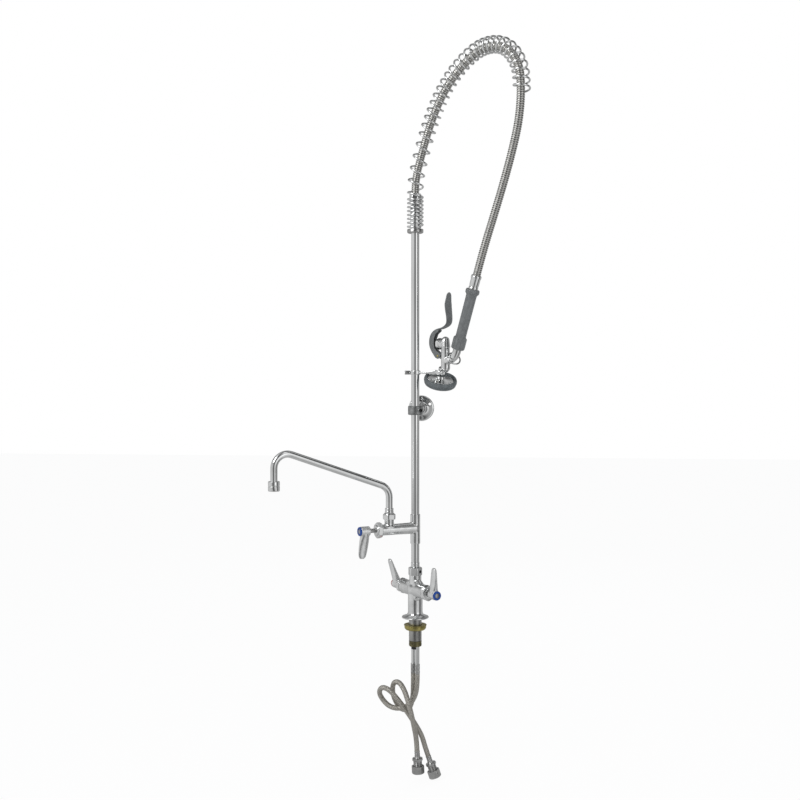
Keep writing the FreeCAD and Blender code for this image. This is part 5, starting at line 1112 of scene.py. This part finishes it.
class FAUCET_OT_riser(bpy.types.Operator):
    """Riser pipe and the wall bracket"""
    bl_idname = "faucet.riser"
    bl_label = "Riser and wall bracket"

    def execute(self, context):
        piece("riser_chrome", turned([(WATER_RADIUS, 204), (PIPE_RADIUS, 204), (PIPE_RADIUS, RISER_TOP),
            (WATER_RADIUS, RISER_TOP)], closed=True), "tube", "riser_pipe", edge=0.3)
        clamp = cast([
            turned([(0, 429.6), (14.4, 429.6), (15.5, 430.8), (15.5, 447.2), (14.4, 448.4), (0, 448.4)]),
            drum(WALL, 0, 25.6, 10.4), drum(WALL, 20, 5.8, 11.4), drum(CLAMP_SCREW, 0, 16.4, 5.6)], 0.6, 5)
        bored = carved(clamp, drum(UPRIGHT, 420, 40, PIPE_BORE), drum(WALL, 11, 30, 8.65))
        piece("wall_clamp_cast", bored, "clamp", "wall_clamp")
        piece("wall_nipple_chrome", turned(
            [(WATER_RADIUS, 11.4), (PIPE_RADIUS, 11.4), (PIPE_RADIUS, 151.8), (WATER_RADIUS, 151.8)], WALL,
            closed=True), "tube", "wall_nipple", edge=0.3)
        disc = turned([(8.66, 140.4), (10.8, 140.4), (11.8, 141), (12.4, 142.2), (12.6, 144), (13.6, 145.4),
            (16, 146.6), (20, 147.6), (24.6, 148.4), (27.2, 149.2), (28.4, 150.1), (28.8, 151.2),
            (28.6, 152), (28, WALL_DISTANCE), (0, WALL_DISTANCE), (0, 152.1), (8.66, 152.1)], WALL, 96)
        holes = []
        for side in (1, -1):
            spot = WALL @ place(angle=-26) @ place(x=21.5 * side)
            holes.append(drum(spot, 143, 12, 3.25, segments=40))
            holes.append(drum(spot, 146.2, 3.4, 6.2, 3.1, segments=40))
        piece("wall_flange_disc", carved(disc, *holes), "chrome", "wall_flange", sharp=35)
        for name, stand, end in (("nut_set_screw", NUT_SCREW, 12.4), ("clamp_set_screw", CLAMP_SCREW, 20)):
            shape = turned([(0, 8.7), (3.2, 8.7), (3.2, end - 0.4), (2.8, end), (0, end)], stand, 48)
            socket = drum(stand, end - 1.6, 3, 1.9, segments=6)
            piece(name, carved(shape, socket), "black", "set_screws")
        return {"FINISHED"}


# Finger hook

class FAUCET_OT_hook(bpy.types.Operator):
    """Finger hook that holds the spray valve, and its thumb screw"""
    bl_idname = "faucet.hook"
    bl_label = "Finger hook"

    def execute(self, context):
        reach = 57.7
        radius = 12.6
        path = [(9, 0, 0, 4.4), (18, 0, 0, 4.6), (27, 0, 0, 5.6), (35, 0, 0.4, 8), (41, 0, 0.8, 9.6)]
        for step in range(13):
            share = step / 12
            angle = math.radians(180 + 117 * share)
            path.append((reach + radius * math.cos(angle), radius * math.sin(angle),
                0.9 - 2.1 * share * share, 9.9 - 2.4 * share * share))
        rings = []
        for number, (x, y, rise, height) in enumerate(path):
            before = Vector(path[max(number - 1, 0)][:2])
            after = Vector(path[min(number + 1, len(path) - 1)][:2])
            way = (after - before).normalized()
            aside = Vector((-way.y, way.x))
            ring = []
            for angle in angles(24):
                across = boxed(math.cos(angle), 0.6) * 1.7
                up = boxed(math.sin(angle), 0.6) * height / 2
                ring.append(HOOK @ (Vector((x + aside.x * across, y + aside.y * across, rise + up)) * MM))
            rings.append(ring)
        tip = HOOK @ place(reach, 0, -1.2, angle=297) @ place(about="Y", angle=90)
        blank = cast([turned([(0, 514.5), (10.2, 514.5), (10.9, 515.3), (10.9, 522.7), (10.2, 523.5),
            (0, 523.5)], UPRIGHT, 64), lofted(rings), drum(tip, 10.9, 3.9, 4.15)], 0.45, 4)
        bored = carved(blank, drum(UPRIGHT, 505, 30, PIPE_BORE), ball(tip @ place(z=16.4), 2.9, 32),
                       drum(THUMB_SCREW, 0, 14, 2.3, segments=32))
        piece("finger_hook_cast", bored, "smooth", "finger_hook")
        head = turned([(0, 8.7), (2.2, 8.7), (2.2, 11), (3.4, 11.05), (4.3, 12), (4.3, 21.6), (3.6, 22.6),
                       (0, 22.8)], THUMB_SCREW, 96)
        flutes = 24
        into = THUMB_SCREW.inverted()
        for vert in head.verts:
            local = into @ vert.co
            if 12 * MM <= local.z <= 21.8 * MM and local.xy.length > 4 * MM:
                angle = math.atan2(local.y, local.x)
                local.xy *= 1 - 0.07 * (0.5 + 0.5 * math.cos(flutes * angle))
                vert.co = THUMB_SCREW @ local
        piece("hook_thumb_screw", head, "chrome", "hook_screw", sharp=30)
        return {"FINISHED"}


# Spray valve

class FAUCET_OT_spray_valve(bpy.types.Operator):
    """Valve body with elbow and neck, bonnet, plunger, pin and hold-down ring"""
    bl_idname = "faucet.spray_valve"
    bl_label = "Spray valve"

    def execute(self, context):
        edge = context.scene.faucet_sizes.edge_round
        elbow_points = [(-33.77, 13.9), (-29.5, 1.75), (-17, -7.5), (0, -11)]
        line = Line(smooth_line([VALVE @ (Vector((x, 0, z)) * MM) for x, z in elbow_points]))
        aside = (VALVE.to_3x3() @ Vector((0, 1, 0))).normalized()
        stations = [(line.length * step / 24, 8.7 * MM) for step in range(25)]
        lug = VALVE @ place(17.5, 3.4, 0.4, about="X", angle=90)
        body = cast([
            drum(VALVE, -25, 52, 9.7, 8.9), ball(VALVE @ place(z=-25), 9.6), drum(VALVE, 18, 15, 10.4, 8.6),
            ball(VALVE @ place(z=32.2), 8.6), tube(line, stations, 40, aside),
            drum(PLUNGER, 0, 12.1, 11.2), drum(lug, 0, 6.8, 5),
            block(VALVE, (0, -3.4, -4.2), (17.5, 3.4, 5)),
            drum(HEAD, -24, 27, 7.4), drum(HEAD, -5, 5.5, 7.4, 10.5)], 0.6, 7)
        piece("valve_casting", carved(body, drum(lug, -2, 11, 2.42, segments=32)),
              "casting", "spray_body", sharp=50)
        hexagon = nut(PLUNGER, 12, 7.2, 22, 12.2, 2.68, 1.4)
        nose = turned([(2.68, 19), (8.2, 19), (7.6, 20.4), (6.2, 21.4), (2.68, 21.4)], PLUNGER, 64,
            closed=True)
        piece("valve_bonnet_nut", merged(hexagon, nose), "chrome", "valve_bonnet", edge=edge * 0.6)
        piece("plunger_rod", turned([(0, 1), (2.6, 1), (2.6, 37.2), (2.2, 38.1), (1.2, 38.5), (0, 38.6)],
            PLUNGER, 40), "satin", "plunger", body="spray_plunger")
        pin = VALVE @ place(17.5, 6.8, 0.4, about="X", angle=90)
        piece("lever_pin_brass", turned(
            [(0, -0.4), (1.2, -0.3), (2.2, 0.1), (2.35, 0.5), (2.35, 13.1), (2.2, 13.5), (0, 13.6)], pin, 40),
            "brass", "lever_pin", body="spray_lever")
        ring_radius = 14
        wire_radius = 1.7
        seat = 9.31
        ring = (VALVE @ place(-22.5, 0, -3.3, angle=-20) @ place(about="Y", angle=125)
                @ place(x=ring_radius - wire_radius - seat))
        wire = [(ring_radius + wire_radius * math.cos(angle), wire_radius * math.sin(angle))
            for angle in angles(16)]
        piece("hold_ring_wire", turned(wire, ring, 96, closed=True),
              "chrome", "hold_down_ring", body="hold_ring", sharp=0)
        return {"FINISHED"}


class FAUCET_OT_grip(bpy.types.Operator):
    """Grip round the valve's tube"""
    bl_idname = "faucet.grip"
    bl_label = "Grip"

    def execute(self, context):
        profile = [(7.3, 0), (12.6, 0), (13.8, 1.2), (14.2, 3), (14.35, 8), (14.35, 22.6), (13.8, 24.4),
            (12.4, 25.6), (11.2, 26.8), (10.9, 30), (10.95, 60), (11.05, 90), (11.1, 112), (11.3, 116.4),
            (12.4, 118.6), (13.9, 119.8), (14.5, 121.4), (14.6, 125), (14.3, 127.2), (13.4, 128.6),
            (12.2, 129), (7.3, 129)]
        bm = turned(profile, GRIP, 120, closed=True)
        flutes = 12
        into = GRIP.inverted()
        for vert in bm.verts:
            local = into @ vert.co
            angle = math.atan2(local.y, local.x)
            flute = max(math.cos(flutes * angle), 0) ** 2
            if 2 * MM < local.z < 24 * MM and local.xy.length > 13 * MM:
                local.xy *= 1 - 0.085 * flute
            if 120 * MM < local.z < 128 * MM and local.xy.length > 13.4 * MM:
                local.xy *= 1 - 0.05 * flute
            vert.co = GRIP @ local
        piece("grip_moulded", bm, "grip", "grip", edge=0.25)
        return {"FINISHED"}


LEVER_OUTSIDE = [(24.8, -3.8), (34.4, 7.3), (41.1, 19.6), (42.8, 30.5), (40.5, 41.4), (33.9, 50.7), (22, 57),
                 (8, 60.2), (-5.5, 67), (-9, 78), (-7.4, 95), (-6.4, 109), (-8, 123), (-10, 133.5)]
LEVER_CHANNEL = [(12.5, 5.2), (21, 10.5), (27, 16.5), (29.6, 26), (29, 37), (25, 46), (14, 53.5)]
LEVER_WIDTHS = [5.6, 5.6, 5.6, 5.6, 5.6, 5.6, 5.8, 6.6, 8.4, 9.5, 10.6, 10.9, 8, 1.2]


class FAUCET_OT_lever(bpy.types.Operator):
    """Squeeze lever: a channel round the plunger that runs up into a blade"""
    bl_idname = "faucet.lever"
    bl_label = "Squeeze lever"

    def execute(self, context):
        outside = Line(smooth_line([Vector((x, 0, z)) * MM for x, z in self.through(LEVER_OUTSIDE)], 12))
        thick = 2.7 * MM
        rings = []
        marks = self.marks(LEVER_OUTSIDE)
        count = 90
        for step in range(count + 1):
            share = step / count
            distance = outside.length * share
            spot = outside.at(distance)
            way = outside.way(distance, 0.001)
            inward = Vector((-way.z, 0, way.x))
            half = self.width_at(marks, share) * MM
            depth = thick * (1 - 0.5 * max(0.0, share - 0.93) / 0.07)
            ring = []
            for angle in angles(32):
                across = boxed(math.cos(angle), 0.4) * half
                through = boxed(math.sin(angle), 0.7) * depth / 2
                crown = 0.9 * MM * (1 - (across / half) ** 2) if half > 7 * MM else 0
                ring.append(VALVE @ (spot + inward * (depth / 2 + through - crown * 0.6)
                    + Vector((0, across, 0))))
            rings.append(ring)
        blanks = [lofted(rings)]
        cheek = [(12.5, -3.5), (18.1, -6.1)] + [(x - 0.6, z) for x, z in LEVER_OUTSIDE[:7]]
        cheek += reversed(LEVER_CHANNEL)
        inside = 4.0
        wall = 1.6
        for sign in (1, -1):
            bm = bmesh.new()
            face = bm.faces.new([bm.verts.new(VALVE @ (Vector((x, inside * sign, z)) * MM))
                                 for x, z in cheek])
            grown = bmesh.ops.extrude_face_region(bm, geom=[face])["geom"]
            shift = VALVE.to_3x3() @ Vector((0, wall * sign * MM, 0))
            verts = [item for item in grown if isinstance(item, bmesh.types.BMVert)]
            bmesh.ops.translate(bm, vec=shift, verts=verts)
            bmesh.ops.recalc_face_normals(bm, faces=bm.faces)
            blanks.append(bm)
            eye = (VALVE @ place(17.5, inside if sign > 0 else -inside - wall, 0.4)
                   @ place(about="X", angle=-90))
            blanks.append(drum(eye, 0, wall, 6.5))
        grown = cast(blanks, 0.5, 3)
        piece("squeeze_lever_bent", grown, "lever", "squeeze_lever", body="spray_lever", sharp=0)
        return {"FINISHED"}

    def through(self, points):
        """Control points whose spline stays close to the given outline."""
        fuller = [points[0]]
        for before, here, after in zip(points, points[1:], points[2:]):
            fuller.append([here[axis] * 1.5 - (before[axis] + after[axis]) * 0.25 for axis in range(2)])
        fuller.append(points[-1])
        return fuller

    def marks(self, points):
        """How far along the outline each point lies, from 0 to 1."""
        lengths = [0.0]
        for low, high in zip(points, points[1:]):
            lengths.append(lengths[-1] + math.dist(low, high))
        return [length / lengths[-1] for length in lengths]

    def width_at(self, marks, share):
        for number in range(1, len(marks)):
            if share <= marks[number] or number == len(marks) - 1:
                part = min((share - marks[number - 1]) / (marks[number] - marks[number - 1]), 1)
                if number == len(marks) - 1:
                    part = 1 - math.sqrt(max(1 - part * part, 0))
                return LEVER_WIDTHS[number - 1] + (LEVER_WIDTHS[number] - LEVER_WIDTHS[number - 1]) * part


# Spray head

class FAUCET_OT_head(bpy.types.Operator):
    """Back plate, rubber bumper, spray face and its screw"""
    bl_idname = "faucet.head"
    bl_label = "Spray head"

    def execute(self, context):
        count = context.scene.faucet_sizes.spray_holes
        piece("bumper_moulded", turned([(27.6, 15.4), (27.6, 9.6), (29.5, 9.2), (29.5, 1.2), (29.8, 0.4),
            (30.6, 0.05), (31.2, 0.3), (31.6, 1.1), (31.9, 1.2), (32.2, 0.5), (32.7, 0.2), (33.2, 0.5),
            (33.9, 1.3), (34.6, 3), (35, 5), (35, 8.2), (34.8, 8.7), (33.5, 9.7), (33.4, 10.2),
            (33.8, 10.5), (33.8, 12.2), (33.4, 13.4), (32.6, 14.6), (31, 15.4)], HEAD, 120, closed=True),
            "rubber", "bumper", edge=0.15)
        plate = turned([(0, 3.4), (0, -1.4), (7.2, -1.4), (9, -0.9), (11, 0.1), (14.5, 1.2), (19, 2.2),
            (23, 2.9), (26, 3.3), (28.4, 3.9), (29.2, 4.6), (29.3, 5.4), (29.3, 8.4), (26, 8.6), (0, 8.6)],
            HEAD, 120)
        cuts = []
        for number in range(6):
            spoke = HEAD @ place(angle=60 * number + 20)
            for offset in (-5, 5):
                cuts.append(drum(spoke @ place(angle=offset) @ place(x=23.5), -2, 8, 2.3, segments=28))
        piece("back_plate", carved(plate, *cuts), "smooth", sharp=35)
        piece("plate_shadow", turned([(0, 6.2), (27.5, 6.2), (27.5, 6.6), (0, 6.6)], HEAD, 64), "dark")
        face = turned([(2.2, 9.35), (27.4, 9.35), (27.5, 9.7), (27.5, 11.2), (27.1, 11.55), (2.2, 11.55)],
            HEAD, 96, closed=True)
        holes = []
        for reach, number in ((10.5, count // 3), (17, 2 * count // 3), (22.8, count)):
            for step in range(number):
                holes.append(drum(HEAD @ place(angle=360 * step / number) @ place(x=reach), 8, 5, 0.9,
                    segments=16))
        piece("spray_face_plate", carved(face, *holes), "satin", "spray_face", sharp=35)
        screw = turned([(0, 6.9), (2, 6.9), (2, 11.5), (4.3, 11.5), (4.4, 12), (3.6, 13.2), (2, 13.7),
            (0, 13.8)], HEAD, 48)
        slit = block(HEAD @ place(z=13.8, angle=25), (-5, -0.45, -0.9), (5, 0.45, 0.9))
        piece("face_screw_head", carved(screw, slit), "satin", "face_screw", sharp=35)
        return {"FINISHED"}


# Finishes of the inner nodes that keep their own shape

class FAUCET_OT_inner(bpy.types.Operator):
    """Finishes of the inner parts that keep their solid's own shape"""
    bl_idname = "faucet.inner"
    bl_label = "Inner parts"

    def execute(self, context):
        chosen = {"shank_plug": "dark", "grip_tube": "satin", "valve_spring": "spring", "seat_washer": "dark",
                  "spout_o_rings": "dark", "cold_cartridge": "brass", "hot_cartridge": "brass",
                  "add_on_cartridge": "brass"}
        for name, key in chosen.items():
            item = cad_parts[name]
            item.data.materials.clear()
            item.data.materials.append(finishes[key])
        return {"FINISHED"}


class FAUCET_PT_panel(bpy.types.Panel):
    """Lists the faucet's operators and settings"""
    bl_label = "Faucet"
    bl_idname = "FAUCET_PT_panel"
    bl_space_type = "VIEW_3D"
    bl_region_type = "UI"
    bl_category = "Faucet"

    def draw(self, context):
        for settings in (context.scene.faucet_sizes, context.scene.faucet_colours):
            for name in settings.bl_rna.properties.keys():
                if name not in ("rna_type", "name"):
                    self.layout.prop(settings, name)
        for operator in OPERATORS:
            self.layout.operator(operator.bl_idname)


OPERATORS = (FAUCET_OT_stage, FAUCET_OT_supply, FAUCET_OT_spray_hose, FAUCET_OT_spring, FAUCET_OT_shank,
             FAUCET_OT_base, FAUCET_OT_valves, FAUCET_OT_add_on, FAUCET_OT_riser, FAUCET_OT_hook,
             FAUCET_OT_spray_valve, FAUCET_OT_grip, FAUCET_OT_lever, FAUCET_OT_head, FAUCET_OT_inner)
CLASSES = (FaucetSizes, FaucetColours, *OPERATORS, FAUCET_PT_panel)


def register():
    for cls in CLASSES:
        bpy.utils.register_class(cls)
    bpy.types.Scene.faucet_sizes = PointerProperty(type=FaucetSizes)
    bpy.types.Scene.faucet_colours = PointerProperty(type=FaucetColours)


def unregister():
    del bpy.types.Scene.faucet_colours
    del bpy.types.Scene.faucet_sizes
    for cls in reversed(CLASSES):
        bpy.utils.unregister_class(cls)


def main():
    register()
    colours = bpy.context.scene.faucet_colours
    make_metals(colours)
    make_plastics(colours)
    make_ribbed_steel(colours.hose)
    make_braid(colours.braid, colours.braid_pitch)
    for operator in OPERATORS:
        group, name = operator.bl_idname.split(".")
        getattr(getattr(bpy.ops, group), name)()
    bpy.context.view_layer.update()


if __name__ == "__main__":
    main()
